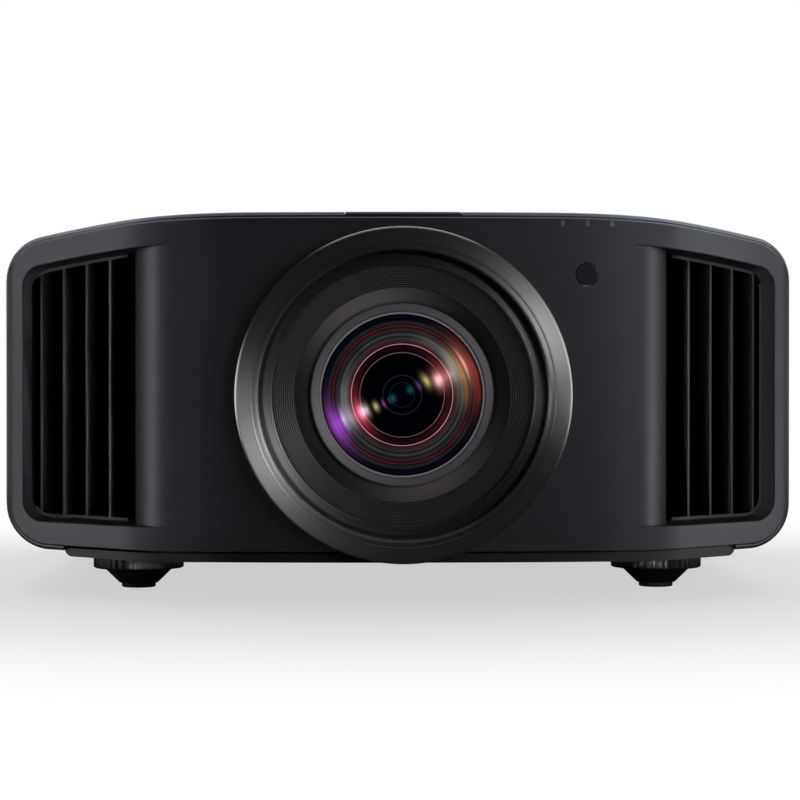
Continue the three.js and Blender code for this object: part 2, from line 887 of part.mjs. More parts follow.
// The front glass sits on a shelf in the barrel and is held by the retaining ring.
const barrelRadius = hoodThroatRadius + barrelWall;
const barrelFrontDepth = hoodRearDepth + fitGap;
const focusRingDepth = barrelFrontDepth + focusRingInset;
const glassRadius = hoodThroatRadius - fitGap;
const retainerDepth = hoodThroatDepth - retainerHeight;
const glassFrontDepth = hoodThroatDepth + fitGap;
const glassRearDepth = glassFrontDepth + glassEdge;
const shelfDepth = glassRearDepth + fitGap;

const retainer = turnedAboutY(ringProfile(retainerBore, glassRadius, retainerDepth, hoodThroatDepth));
addPart(lens, 'lens_retaining_ring', retainer, finishes.zinc);

// The glass's front face is a sphere that bulges forward by sag inside the retaining ring.
function bulgedDisc(radius, faceHalf, front, rear, sag) {
  const sphere = (faceHalf ** 2 + sag ** 2) / (2 * sag);
  const steps = 4;
  const face = [];
  for (let i = 0; i <= steps; i += 1) {
    const r = (faceHalf * i) / steps;
    face.push([r, front - sag + sphere - Math.sqrt(sphere ** 2 - r ** 2)]);
  }
  return [...face, [radius, front], [radius, rear], [0, rear]];
}

const frontLens = turnedAboutY(bulgedDisc(
  glassRadius,
  retainerBore - fitGap,
  glassFrontDepth,
  glassRearDepth,
  glassBulge,
));
addPart(lens, 'front_lens', frontLens, finishes.glass);

const rearBarrelFront = barrelFrontDepth + frontBarrelLength;
const zoomRingDepth = rearBarrelFront + zoomRingInset;
const barrelRearDepth = rearBarrelFront + rearBarrelLength;
const rearBore = rearBarrelRadius - barrelWall;
const frameFront = zoomRingDepth + zoomRingLength + frameGap;
const flangeRadius = rearBarrelRadius + barrelFlangeReach;
const rearLensFront = barrelRearDepth - rearLensSeatDepth;
const lensBarrel = turnedAboutY([
  [hoodThroatRadius, barrelFrontDepth],
  [barrelRadius, barrelFrontDepth],
  [barrelRadius, rearBarrelFront],
  [rearBarrelRadius, rearBarrelFront],
  [rearBarrelRadius, frameFront - fitGap - barrelFlange],
  [flangeRadius, frameFront - fitGap - barrelFlange],
  [flangeRadius, frameFront - fitGap],
  [rearBarrelRadius, frameFront - fitGap],
  [rearBarrelRadius, barrelRearDepth],
  [rearBore, barrelRearDepth],
  [rearBore, rearLensFront],
  [rearBore - barrelShelf, rearLensFront],
  [rearBore - barrelShelf, rearBarrelFront - barrelWall],
  [hoodThroatRadius - barrelShelf, rearBarrelFront - barrelWall],
  [hoodThroatRadius - barrelShelf, shelfDepth],
  [hoodThroatRadius, shelfDepth],
  [hoodThroatRadius, barrelFrontDepth],
]);
addPart(lens, 'lens_barrel', lensBarrel, finishes.dark);

const rearLens = turnedAboutY(discProfile(
  rearBore - fitGap,
  rearLensFront + fitGap,
  rearLensFront + fitGap + rearLensEdge,
), 24);
addPart(lens, 'rear_lens', rearLens, finishes.glass);

// A setting ring on the barrel, its pinion and the gear motor that turns the pinion.
function settingDrive({ name, bore, depth, length, angle }) {
  const inner = bore + fitGap;
  const outer = inner + ringWall;
  const ring = turnedAboutY(ringProfile(inner, outer, depth, depth + length));
  addPart(lens, `${name}_ring`, ring, finishes.dark);
  const reach = outer + pinionRadius + fitGap;
  const motorFront = depth + length + motorGap;
  const drive = new THREE.Group();
  drive.position.set(reach * Math.cos(angle), 0, reach * Math.sin(angle));
  lens.add(drive);
  const pinion = turnedAboutY([
    [0, depth],
    [pinionRadius, depth],
    [pinionRadius, depth + length],
    [pinionShaftRadius, depth + length],
    [pinionShaftRadius, motorFront - fitGap],
    [0, motorFront - fitGap],
  ], 16);
  addPart(drive, `${name}_pinion`, pinion, finishes.brass);
  const motor = turnedAboutY(discProfile(motorRadius, motorFront, frameFront - fitGap), 16);
  addPart(drive, `${name}_motor`, motor, finishes.zinc);
}

settingDrive({
  name: 'focus',
  bore: barrelRadius,
  depth: focusRingDepth,
  length: focusRingLength,
  angle: focusMotorAngle,
});
settingDrive({
  name: 'zoom',
  bore: rearBarrelRadius,
  depth: zoomRingDepth,
  length: zoomRingLength,
  angle: zoomMotorAngle,
});

// ---------------------------------------------------------------- lens-shift frames

// The slide carries the barrel and moves in X on two rods of the carriage. The carriage
// moves in Z on two rods of the fixed lens mount.
const frameRear = frameFront + frameThickness;
const rodDepth = (frameFront + frameRear) / 2;
const slideHalfX = slideWidth / 2;
const slideHalfZ = slideHeight / 2;
const carriageWindowX = slideHalfX + shiftTravelX + shiftStopGap;
const carriageWindowZ = slideHalfZ + slideSideGap;
const carriageHalfX = carriageWindowX + carriageBar;
const carriageHalfZ = carriageWindowZ + carriageRail;
const mountWindowX = carriageHalfX + slideSideGap;
const mountWindowZ = carriageHalfZ + shiftTravelZ + shiftStopGap;
const mountHalfX = mountWindowX + mountBar;
const liftRodX = carriageHalfX - liftRodInset;
const slideRodZ = slideHalfZ - slideRodInset;

function plate(halfX, halfZ) {
  return box(-halfX, halfX, frameFront, frameRear, -halfZ, halfZ);
}

function shiftSlide() {
  const lensBore = rodAlongY(
    rearBarrelRadius + fitGap,
    0,
    frameFront - overlap,
    frameRear + overlap,
    0,
    32,
  );
  let body = plate(slideHalfX, slideHalfZ).subtract(lensBore);
  for (const z of [-slideRodZ, slideRodZ]) {
    body = body.subtract(rodAlongX(rodRadius + rodGap, -housingWidth, housingWidth, rodDepth, z));
  }
  return body;
}

function shiftCarriage() {
  let body = plate(carriageHalfX, carriageHalfZ).subtract(plate(carriageWindowX, carriageWindowZ));
  const reach = carriageWindowX + overlap;
  for (const z of [-slideRodZ, slideRodZ]) {
    body = body.add(rodAlongX(rodRadius, -reach, reach, rodDepth, z));
  }
  for (const x of [-liftRodX, liftRodX]) {
    body = body.subtract(rodAlongZ(rodRadius + rodGap, x, rodDepth, -housingTopZ, housingTopZ));
  }
  return body;
}

function lensMount() {
  const lowZ = seatZ - lensAxisZ;
  const highZ = mountWindowZ + fasciaWall;
  let body = box(-mountHalfX, mountHalfX, frameFront, frameRear, lowZ, highZ)
    .subtract(plate(mountWindowX, mountWindowZ));
  for (const x of [-liftRodX, liftRodX]) {
    body = body.add(rodAlongZ(rodRadius, x, rodDepth, -mountWindowZ - overlap, mountWindowZ + overlap));
  }
  return body;
}

addPart(lens, 'shift_slide', shiftSlide(), finishes.zinc);
addPart(lens, 'shift_carriage', shiftCarriage(), finishes.steel);
addPart(lens, 'lens_mount', lensMount(), finishes.zinc);

// ---------------------------------------------------------------- optical block and prism

const blockFrontY = faceY + barrelRearDepth + blockGap;
const blockRearY = blockFrontY + blockLength;
const prismFloorZ = lensAxisZ - prismSize / 2;

function opticalBlock() {
  const half = engineX - engineWidth / 2 - blockSideGap;
  const outer = box(-half, half, blockFrontY, blockRearY, seatZ, blockTopZ);
  const cavity = box(
    -half + blockWall,
    half - blockWall,
    blockFrontY + blockWall,
    blockRearY - blockWall,
    prismFloorZ - fitGap,
    blockTopZ - blockWall,
  );
  const window = rodAlongY(
    blockWindowRadius,
    0,
    blockFrontY - overlap,
    blockFrontY + blockWall + overlap,
    lensAxisZ,
    32,
  );
  return outer.subtract(cavity).subtract(window);
}

addPart(projector, 'optical_block', opticalBlock(), finishes.zinc);

const prism = solid(new THREE.BoxGeometry(prismSize, prismSize, prismSize));
addPart(projector, 'color_prism', prism, finishes.glass).position
  .set(0, (blockFrontY + blockRearY) / 2, lensAxisZ);

// ---------------------------------------------------------------- light engine

const engineTopZ = seatZ + engineHeight;
const wheelMotorY = engineFrontY - wheelMotorLength;
const wheelHubRearY = wheelMotorY - fitGap;
const wheelHubFrontY = wheelHubRearY - wheelHubLength;

function lightEngine() {
  const x0 = engineX - engineWidth / 2;
  const x1 = engineX + engineWidth / 2;
  const rear = engineFrontY + engineLength;
  let body = box(x0, x1, engineFrontY, rear, seatZ, engineTopZ);
  const pitch = (engineWidth - engineFinThickness) / (engineFinCount - 1);
  for (let i = 0; i < engineFinCount; i += 1) {
    const x = x0 + i * pitch;
    const finTopZ = engineTopZ + engineFinHeight;
    body = body.add(box(x, x + engineFinThickness, engineFrontY, rear, engineTopZ - overlap, finTopZ));
  }
  return body
    .add(rodAlongY(wheelMotorRadius, wheelX, wheelMotorY, engineFrontY + overlap, wheelZ))
    .add(rodAlongY(wheelPinRadius, wheelX, wheelHubFrontY, engineFrontY, wheelZ, 16));
}

addPart(projector, 'light_engine', lightEngine(), finishes.zinc);

const wheelBore = wheelPinRadius + fitGap;
const phosphorWheel = turnedAboutY([
  [wheelBore, 0],
  [wheelHubRadius, 0],
  [wheelHubRadius, wheelHubLength - wheelThickness],
  [wheelRadius, wheelHubLength - wheelThickness],
  [wheelRadius, wheelHubLength],
  [wheelBore, wheelHubLength],
  [wheelBore, 0],
], 24);
addPart(projector, 'phosphor_wheel', phosphorWheel, finishes.brass).position
  .set(wheelX, wheelHubFrontY, wheelZ);

// ---------------------------------------------------------------- power supply

const supplyFrontY = fanFrontY + fanFrameDepth + supplyFanGap;
const supplyLength = rearY - supplyRearMargin - supplyFrontY;
const supplySlotCount = Math.floor((supplyLength - 2 * supplySlotMargin) / supplySlotPitch);

function powerSupply() {
  const x0 = supplyX - supplyWidth / 2;
  const x1 = supplyX + supplyWidth / 2;
  const rear = supplyFrontY + supplyLength;
  const top = seatZ + supplyHeight;
  let body = box(x0, x1, supplyFrontY, rear, seatZ, top).subtract(box(
    x0 + supplyWall,
    x1 - supplyWall,
    supplyFrontY + supplyWall,
    rear - supplyWall,
    seatZ + supplyWall,
    top - supplyWall,
  ));
  const middle = (supplyFrontY + rear) / 2;
  for (let i = 0; i < supplySlotCount; i += 1) {
    const y = middle + (i - (supplySlotCount - 1) / 2) * supplySlotPitch;
    const half = supplySlotWidth / 2;
    body = body.subtract(box(
      x0 + supplyWall * 4,
      x1 - supplyWall * 4,
      y - half,
      y + half,
      top - supplyWall - overlap,
      top + overlap,
    ));
  }
  return body;
}

addPart(projector, 'power_supply', powerSupply(), finishes.zinc);

// ---------------------------------------------------------------- exhaust fans

const fanHubFront = (fanFrameDepth - fanHubLength - fanStrut) / 2;
const fanMotorFront = fanHubFront + fanHubLength + fitGap;

// Drawn about the fan's axis, with its front face at zero. Its leg reaches down to the tray.
function fanShroud() {
  const half = fanFrameWidth / 2;
  const leg = box(-fanLegWidth / 2, fanLegWidth / 2, 0, fanFrameDepth, seatZ - fanZ, overlap - half);
  const frame = box(-half, half, 0, fanFrameDepth, -half, half)
    .add(leg)
    .subtract(rodAlongY(fanBore, 0, -overlap, fanFrameDepth + overlap, 0, 32));
  const strutReach = fanBore + overlap;
  const strutFront = fanFrameDepth - fanStrut;
  const struts = box(-strutReach, strutReach, strutFront, fanFrameDepth, -fanStrut / 2, fanStrut / 2)
    .add(box(-fanStrut / 2, fanStrut / 2, strutFront, fanFrameDepth, -strutReach, strutReach));
  return frame
    .add(struts)
    .add(rodAlongY(fanMotorRadius, 0, fanMotorFront, fanFrameDepth, 0))
    .add(rodAlongY(fanPinRadius, 0, fanHubFront, fanFrameDepth, 0, 12));
}

function fanRotor() {
  const blades = [];
  for (let i = 0; i < fanBladeCount; i += 1) {
    const length = fanBore - fanTipGap - fanHubRadius + overlap;
    const blade = new THREE.BoxGeometry(length, fanBladeThickness, fanBladeChord);
    blade.rotateX(fanBladePitch);
    blade.translate(fanHubRadius - overlap + length / 2, fanHubFront + fanHubLength / 2, 0);
    blade.rotateY((i * Math.PI * 2) / fanBladeCount);
    blades.push(solid(blade));
  }
  const hub = rodAlongY(fanHubRadius, 0, fanHubFront, fanHubFront + fanHubLength, 0, 20);
  const bore = rodAlongY(fanPinRadius + fitGap, 0, fanHubFront - overlap, fanFrameDepth, 0, 12);
  return hub.add(union(blades)).subtract(bore);
}

const shroud = fanShroud();
const rotor = fanRotor();
for (const [place, side] of [['left', -1], ['right', 1]]) {
  const fan = new THREE.Group();
  fan.position.set(side * fanX, fanFrontY, fanZ);
  projector.add(fan);
  addPart(fan, `fan_shroud_${place}`, shroud, finishes.dark);
  addPart(fan, `fan_rotor_${place}`, rotor, finishes.dark);
}

// ---------------------------------------------------------------- rear panel pieces

const filterX0 = filterX - filterWidth / 2;
const filterX1 = filterX + filterWidth / 2;
const filterZ0 = filterZ - filterHeight / 2;
const filterZ1 = filterZ + filterHeight / 2;
const filterAxisY = rearPanelY - filterHingeRadius;
const filterAxisZ = filterZ0 + filterCoverGap + filterHingeRadius;
const filterRearY = rearPanelY - filterHingeRadius * 2 - fitGap;
const filterFrontY = filterRearY - filterThickness;

// Each button: name, x, z, and its outline grown by some amount.
function roundOutline(radius) {
  return (grow) => {
    const shape = new THREE.Shape();
    shape.absarc(0, 0, radius + grow, 0, Math.PI * 2);
    return shape;
  };
}

function barOutline(width, height) {
  return (grow) => {
    const halfX = width / 2 + grow;
    const halfZ = height / 2 + grow;
    const shape = new THREE.Shape();
    shape.moveTo(-halfX, -halfZ);
    shape.lineTo(halfX, -halfZ);
    shape.lineTo(halfX, halfZ);
    shape.lineTo(-halfX, halfZ);
    shape.closePath();
    return shape;
  };
}

const wideKey = barOutline(arrowWidth, arrowHeight);
const tallKey = barOutline(arrowHeight, arrowWidth);
const roundKey = roundOutline(roundButtonRadius);
const buttons = [
  ['button_ok', padCentreX, padCentreZ, roundOutline(okRadius)],
  ['button_up', padCentreX, padCentreZ + arrowReach, wideKey],
  ['button_down', padCentreX, padCentreZ - arrowReach, wideKey],
  ['button_left', padCentreX + arrowReach, padCentreZ, tallKey],
  ['button_right', padCentreX - arrowReach, padCentreZ, tallKey],
  ['button_power', powerButtonX, powerButtonZ, roundKey],
  ['button_menu', menuButtonX, menuRowZ, roundKey],
  ['button_back', backButtonX, menuRowZ, roundKey],
];

const flangeRear = -rearPanelWall - fitGap;
for (const [name, x, z, outline] of buttons) {
  const cap = alongY(outline(0), flangeRear - overlap, buttonTravel + buttonStandoff);
  const flange = alongY(outline(buttonFlange), flangeRear - buttonFlangeThickness, flangeRear);
  const mesh = addPart(projector, name, cap.add(flange), finishes.key);
  mesh.position.set(x, rearPanelY, z);
}

// ---------------------------------------------------------------- rear panel

const terminalX0 = terminalX - terminalWidth / 2;
const terminalX1 = terminalX + terminalWidth / 2;
const terminalTopZ = terminalBottomZ + terminalHeight;

function rearBox(x0, x1, z0, z1) {
  return box(x0, x1, rearPanelInnerY - overlap, rearY + overlap, z0, z1);
}

function rearPanel() {
  let body = alongY(housingShape(fasciaInset), rearPanelInnerY, rearPanelY);
  const sleeve = box(
    filterX0 - filterSleeveWall,
    filterX1 + filterSleeveWall,
    filterFrontY,
    rearPanelY,
    filterZ0 - filterSleeveWall,
    filterZ1 + filterSleeveWall,
  );
  body = body.add(sleeve)
    .subtract(box(filterX0, filterX1, filterFrontY - overlap, rearY + overlap, filterZ0, filterZ1))
    .subtract(rodAlongX(
      filterPinRadius + fitGap,
      filterX0 - filterPinLength,
      filterX1 + filterPinLength,
      filterAxisY,
      filterAxisZ,
    ));
  for (let i = 0; i < grilleSlotCount; i += 1) {
    const x = grilleX + (i - (grilleSlotCount - 1) / 2) * grilleSlotPitch;
    const half = grilleSlotWidth / 2;
    const halfHeight = grilleSlotHeight / 2;
    body = body.subtract(rearBox(x - half, x + half, grilleZ - halfHeight, grilleZ + halfHeight));
  }
  for (const [, x, z, outline] of buttons) {
    const bore = alongY(outline(buttonGap), rearPanelInnerY - overlap, rearY + overlap).translate([x, 0, z]);
    body = body.subtract(bore);
  }
  body = body.subtract(rearBox(terminalX0, terminalX1, terminalBottomZ, terminalTopZ));
  const halfX = acInletWidth / 2 + fitGap;
  const halfZ = acInletHeight / 2 + fitGap;
  return body.subtract(rearBox(acInletX - halfX, acInletX + halfX, acInletZ - halfZ, acInletZ + halfZ));
}

addPart(projector, 'rear_panel', rearPanel(), finishes.casing);

// ---------------------------------------------------------------- filter and its cover

function filterCover() {
  const x0 = filterX0 + filterCoverGap;
  const x1 = filterX1 - filterCoverGap;
  const top = filterZ1 - filterCoverGap;
  let body = box(x0, x1, rearPanelY - filterCoverThickness, rearPanelY, filterAxisZ, top);
  for (let i = 0; i < filterSlotCount; i += 1) {
    const z = filterZ + (i - (filterSlotCount - 1) / 2) * filterSlotPitch;
    const half = filterSlotHeight / 2;
    body = body.subtract(box(
      x0 + filterSlotMargin,
      x1 - filterSlotMargin,
      rearPanelY - filterCoverThickness - overlap,
      rearPanelY + overlap,
      z - half,
      z + half,
    ));
  }
  return body
    .add(rodAlongX(filterHingeRadius, x0, x1, filterAxisY, filterAxisZ))
    .add(rodAlongX(
      filterPinRadius,
      filterX0 - filterPinLength + fitGap,
      filterX1 + filterPinLength - fitGap,
      filterAxisY,
      filterAxisZ,
    ));
}

addPart(projector, 'filter_cover', filterCover(), finishes.casing);

const airFilter = box(
  filterX0 + fitGap,
  filterX1 - fitGap,
  filterFrontY,
  filterRearY,
  filterZ0 + fitGap,
  filterZ1 - fitGap,
);
addPart(projector, 'air_filter', airFilter, finishes.foam);

// ---------------------------------------------------------------- terminals and inlet

const terminalRearY = rearPanelInnerY - fitGap;
const terminalFrontY = terminalRearY - terminalWall;
const socketBottomZ = boardTopZ + fitGap;
const socketFrontY = terminalRearY - socketDepth;

function socket(width, height, x) {
  const x0 = x - width / 2;
  const x1 = x + width / 2;
  return box(x0, x1, socketFrontY, terminalRearY, socketBottomZ, socketBottomZ + height).subtract(box(
    x0 + socketWall,
    x1 - socketWall,
    socketFrontY + socketFloor,
    terminalRearY + overlap,
    socketBottomZ + socketWall,
    socketBottomZ + height - socketWall,
  ));
}

function socketHole(width, height, x) {
  return box(
    x - width / 2 - fitGap,
    x + width / 2 + fitGap,
    terminalFrontY - overlap,
    terminalRearY + overlap,
    socketBottomZ - fitGap,
    socketBottomZ + height + fitGap,
  );
}

function terminalPlate() {
  let body = box(
    terminalX0 - terminalOverlap,
    terminalX1 + terminalOverlap,
    terminalFrontY,
    terminalRearY,
    terminalBottomZ - terminalOverlap,
    terminalTopZ + terminalOverlap,
  );
  for (const offset of hdmiOffsets) {
    body = body.subtract(socketHole(hdmiWidth, hdmiHeight, terminalX + offset));
  }
  body = body.subtract(socketHole(lanWidth, lanHeight, lanX));
  for (const offset of jackOffsets) {
    const z = socketBottomZ + lanHeight / 2;
    const x = terminalX + offset;
    body = body.subtract(rodAlongY(jackRadius, x, terminalFrontY - overlap, terminalRearY + overlap, z, 16));
  }
  return body;
}

addPart(projector, 'terminal_plate', terminalPlate(), finishes.zinc);
hdmiOffsets.forEach((offset, i) => {
  const shell = socket(hdmiWidth, hdmiHeight, terminalX + offset);
  addPart(projector, `hdmi_socket_${i + 1}`, shell, finishes.steel);
});
addPart(projector, 'lan_socket', socket(lanWidth, lanHeight, lanX), finishes.steel);

function acInlet() {
  const halfX = acInletWidth / 2;
  const halfZ = acInletHeight / 2;
  const frontEnd = rearPanelY - acInletDepth;
  let body = box(-halfX, halfX, frontEnd, rearPanelY, -halfZ, halfZ).subtract(box(
    -halfX + acInletWall,
    halfX - acInletWall,
    frontEnd + acInletWall,
    rearPanelY + overlap,
    -halfZ + acInletWall,
    halfZ - acInletWall,
  ));
  const pins = [
    [-acPinSpread, -acPinDrop],
    [acPinSpread, -acPinDrop],
    [0, acPinDrop],
  ];
  for (const [x, z] of pins) {
    body = body.add(box(
      x - acPinHeight / 2,
      x + acPinHeight / 2,
      frontEnd + acInletWall / 2,
      frontEnd + acPinLength,
      z - acPinWidth / 2,
      z + acPinWidth / 2,
    ));
  }
  return body;
}

addPart(projector, 'ac_inlet', acInlet(), finishes.dark).position.set(acInletX, 0, acInletZ);

// ---------------------------------------------------------------- main board

const boardRearY = socketFrontY + socketDepth - boardRearGap;
const boardFrontY = boardRearY - boardLength;

function mainBoard() {
  const x0 = terminalX - boardWidth / 2;
  const x1 = terminalX + boardWidth / 2;
  let body = box(x0, x1, boardFrontY, boardRearY, boardTopZ - boardThickness, boardTopZ);
  for (const x of [x0 + standoffInset, x1 - standoffInset]) {
    for (const y of [boardFrontY + standoffInset, boardRearY - standoffInset]) {
      body = body.add(rodAlongZ(standoffRadius, x, y, seatZ, boardTopZ - boardThickness / 2, 12));
    }
  }
  const half = boardChip / 2;
  const y = boardFrontY + standoffInset + half;
  return body.add(box(
    terminalX - half,
    terminalX + half,
    y - half,
    y + half,
    boardTopZ - boardThickness / 2,
    boardTopZ + boardChipHeight,
  ));
}

addPart(projector, 'main_board', mainBoard(), finishes.board);

export default projector;
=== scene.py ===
"""A full-size home-cinema projector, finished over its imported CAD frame.

Metres, +Z up, lens towards -Y. Lengths inside this script are in millimetres until a mesh is made.
"""

import json
import math

import bmesh
import bpy
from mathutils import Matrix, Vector


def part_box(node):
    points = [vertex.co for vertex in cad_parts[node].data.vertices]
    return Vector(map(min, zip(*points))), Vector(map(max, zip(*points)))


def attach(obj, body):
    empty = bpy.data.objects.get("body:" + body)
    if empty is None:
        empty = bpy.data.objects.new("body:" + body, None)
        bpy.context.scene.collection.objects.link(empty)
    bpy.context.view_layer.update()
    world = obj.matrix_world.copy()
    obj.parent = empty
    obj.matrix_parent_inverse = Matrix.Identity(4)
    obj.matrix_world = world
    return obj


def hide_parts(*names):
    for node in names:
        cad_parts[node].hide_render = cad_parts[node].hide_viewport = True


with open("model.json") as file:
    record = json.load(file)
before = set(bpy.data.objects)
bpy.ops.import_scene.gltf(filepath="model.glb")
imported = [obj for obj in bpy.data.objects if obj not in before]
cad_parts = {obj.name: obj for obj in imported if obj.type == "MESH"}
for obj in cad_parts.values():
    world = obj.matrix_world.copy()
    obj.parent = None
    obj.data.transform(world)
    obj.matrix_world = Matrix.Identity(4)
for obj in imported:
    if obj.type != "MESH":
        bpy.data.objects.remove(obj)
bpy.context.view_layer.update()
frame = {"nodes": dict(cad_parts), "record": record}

MM = 0.001
# The sides of the housing seen from the front, by the sign of x.
PLACE = {-1: "left", 1: "right"}


def box_mm(name):
    """Lowest and highest corner of a CAD node in millimetres."""
    low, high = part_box(name)
    return low / MM, high / MM


def steps(low, high, count):
    """Evenly spaced values from low to high, count steps apart."""
    return [low + (high - low) * i / count for i in range(count + 1)]


# ---------------------------------------------------------------- sizes taken from the frame

FASCIA = box_mm("front_fascia")
COVER = box_mm("top_cover")
RING = box_mm("lens_trim_ring")
VENT = box_mm("louvre_right")
WINDOW = box_mm("ir_window")
REAR = box_mm("rear_panel")
GUIDES = [box_mm(f"light_guide_{i}") for i in (1, 2, 3)]

HALF = COVER[1].x
TOP_Z = COVER[1].z
REAR_Y = COVER[1].y
COVER_LOW = COVER[0].z
FACE_Y = FASCIA[0].y
LENS_R = (RING[1].x - RING[0].x) / 2
LENS_Z = (RING[0].z + RING[1].z) / 2

# Shape numbers the boxes can't give. From above: the front face's slow arc, the turn into each
# sweep and the round corner. From the front: the crowned top and its corners. Then wall sizes,
# the cheek beside the lens and the vent mouth.
FACE_R, FACE_HALF, TURN_R, SWEEP, CORNER_R = 1100.0, 130.0, 70.0, math.radians(43), 25.0
CROWN_HALF, SHOULDER_R, TOP_CORNER_R, LOW_CORNER_R = 90.0, 840.0, 30.0, 31.0
COVER_WALL, COVER_SETBACK, FASCIA_INSET, FASCIA_RIM = 2.7, 1.0, 3.0, 11.0
CHEEK_X, CHEEK_REACH, CHEEK_DEPTH, SLEEVE_DEPTH = 138.0, 29.5, 44.0, 88.0
VENT_HALF, VENT_LOW, VENT_MARGIN, VENT_R = 236.5, 46.0, 17.6, 13.0

FACE_TURN = math.asin(FACE_HALF / FACE_R)
TURN_X = (FACE_R - TURN_R) * math.sin(FACE_TURN)
TURN_Y = FACE_Y + FACE_R - (FACE_R - TURN_R) * math.cos(FACE_TURN)
CORNER_X = HALF - CORNER_R
SWEEP_X0 = TURN_X + TURN_R * math.sin(SWEEP)
SWEEP_Y0 = TURN_Y - TURN_R * math.cos(SWEEP)
SWEEP_X1 = CORNER_X + CORNER_R * math.sin(SWEEP)
SWEEP_Y1 = SWEEP_Y0 + (SWEEP_X1 - SWEEP_X0) * math.tan(SWEEP)
CORNER_Y = SWEEP_Y1 + CORNER_R * math.cos(SWEEP)


def face_at(x):
    """How far back the front face lies at x, and the angle it has turned through there."""
    reach = min(abs(x), HALF)
    if reach <= FACE_HALF:
        turn = math.asin(reach / FACE_R)
        return FACE_Y + FACE_R * (1 - math.cos(turn)), turn
    if reach <= SWEEP_X0:
        turn = math.asin((reach - TURN_X) / TURN_R)
        return TURN_Y - TURN_R * math.cos(turn), turn
    if reach <= SWEEP_X1:
        return SWEEP_Y0 + (reach - SWEEP_X0) * math.tan(SWEEP), SWEEP
    turn = math.asin(min(1.0, (reach - CORNER_X) / CORNER_R))
    return CORNER_Y - CORNER_R * math.cos(turn), turn


def face_y(x):
    return face_at(x)[0]


def face_normal(x):
    """The front face's outward normal at x."""
    turn = face_at(x)[1]
    return Vector((math.copysign(math.sin(turn), x), -math.cos(turn), 0))


class Crown:
    """A box outline with a crowned top, seen from the front: flat, then an arc to each shoulder."""

    def __init__(self, half, inset, low, top_radius, low_radius):
        self.half, self.low = half, low
        self.top_radius, self.low_radius = top_radius, low_radius
        self.centre_z = TOP_Z - SHOULDER_R
        self.radius = SHOULDER_R - inset
        self.flat_z = TOP_Z - inset
        self.corner_x = half - top_radius
        reach = self.radius - top_radius
        self.corner_z = self.centre_z + math.sqrt(reach**2 - (self.corner_x - CROWN_HALF) ** 2)
        self.lean = math.atan2(self.corner_z - self.centre_z, self.corner_x - CROWN_HALF)
        self.tangent_x = self.corner_x + top_radius * math.cos(self.lean)
        self.foot_x = half - low_radius
        self.foot_z = low + low_radius

    def top(self, x):
        """Height of the top edge at x, and the edge's outward normal."""
        reach = min(abs(x), self.half)
        if reach <= CROWN_HALF:
            return self.flat_z, Vector((0, 0, 1))
        if reach <= self.tangent_x:
            rise = math.sqrt(self.radius**2 - (reach - CROWN_HALF) ** 2)
            normal = Vector((reach - CROWN_HALF, 0, rise)).normalized()
            z = self.centre_z + rise
        else:
            rise = math.sqrt(max(0.0, self.top_radius**2 - (reach - self.corner_x) ** 2))
            normal = Vector((reach - self.corner_x, 0, rise)).normalized()
            z = self.corner_z + rise
        normal.x = math.copysign(normal.x, x)
        return z, normal

    def bottom(self, x):
        """Height of the bottom edge at x, and the edge's outward normal."""
        reach = min(abs(x), self.half)
        if reach <= self.foot_x:
            return self.low, Vector((0, 0, -1))
        drop = math.sqrt(max(0.0, self.low_radius**2 - (reach - self.foot_x) ** 2))
        normal = Vector((reach - self.foot_x, 0, -drop)).normalized()
        normal.x = math.copysign(normal.x, x)
        return self.foot_z - drop, normal

    def knots(self):
        """The x values that draw the outline's corners well, on the right side."""
        xs = steps(CROWN_HALF, self.tangent_x, 10)
        for turn in steps(0, math.pi / 2, 12):
            for radius in (self.top_radius, self.low_radius):
                xs.append(self.half - radius * (1 - math.sin(turn)))
        return [x for x in xs if x >= CROWN_HALF]


def housing_outline(inset):
    top, low = TOP_CORNER_R - inset, LOW_CORNER_R - inset
    return Crown(HALF - inset, inset, COVER_LOW + inset, top, low)


def mouth_outline(grow):
    radius = VENT_R + grow
    return Crown(VENT_HALF + grow, VENT_MARGIN - grow, VENT_LOW - grow, radius, radius)


HOUSING = housing_outline(0.0)


def on_face(x, z, depth=0.0):
    """The point on the front face at x and z, or that far behind it."""
    return Vector((x, face_y(x) + depth, z))


def sunk(loop, depth):
    """A loop of (x, z, outward normal) moved inwards."""
    return [(x - n.x * depth, z - n.z * depth, n) for x, z, n in loop]


# ---------------------------------------------------------------- meshes


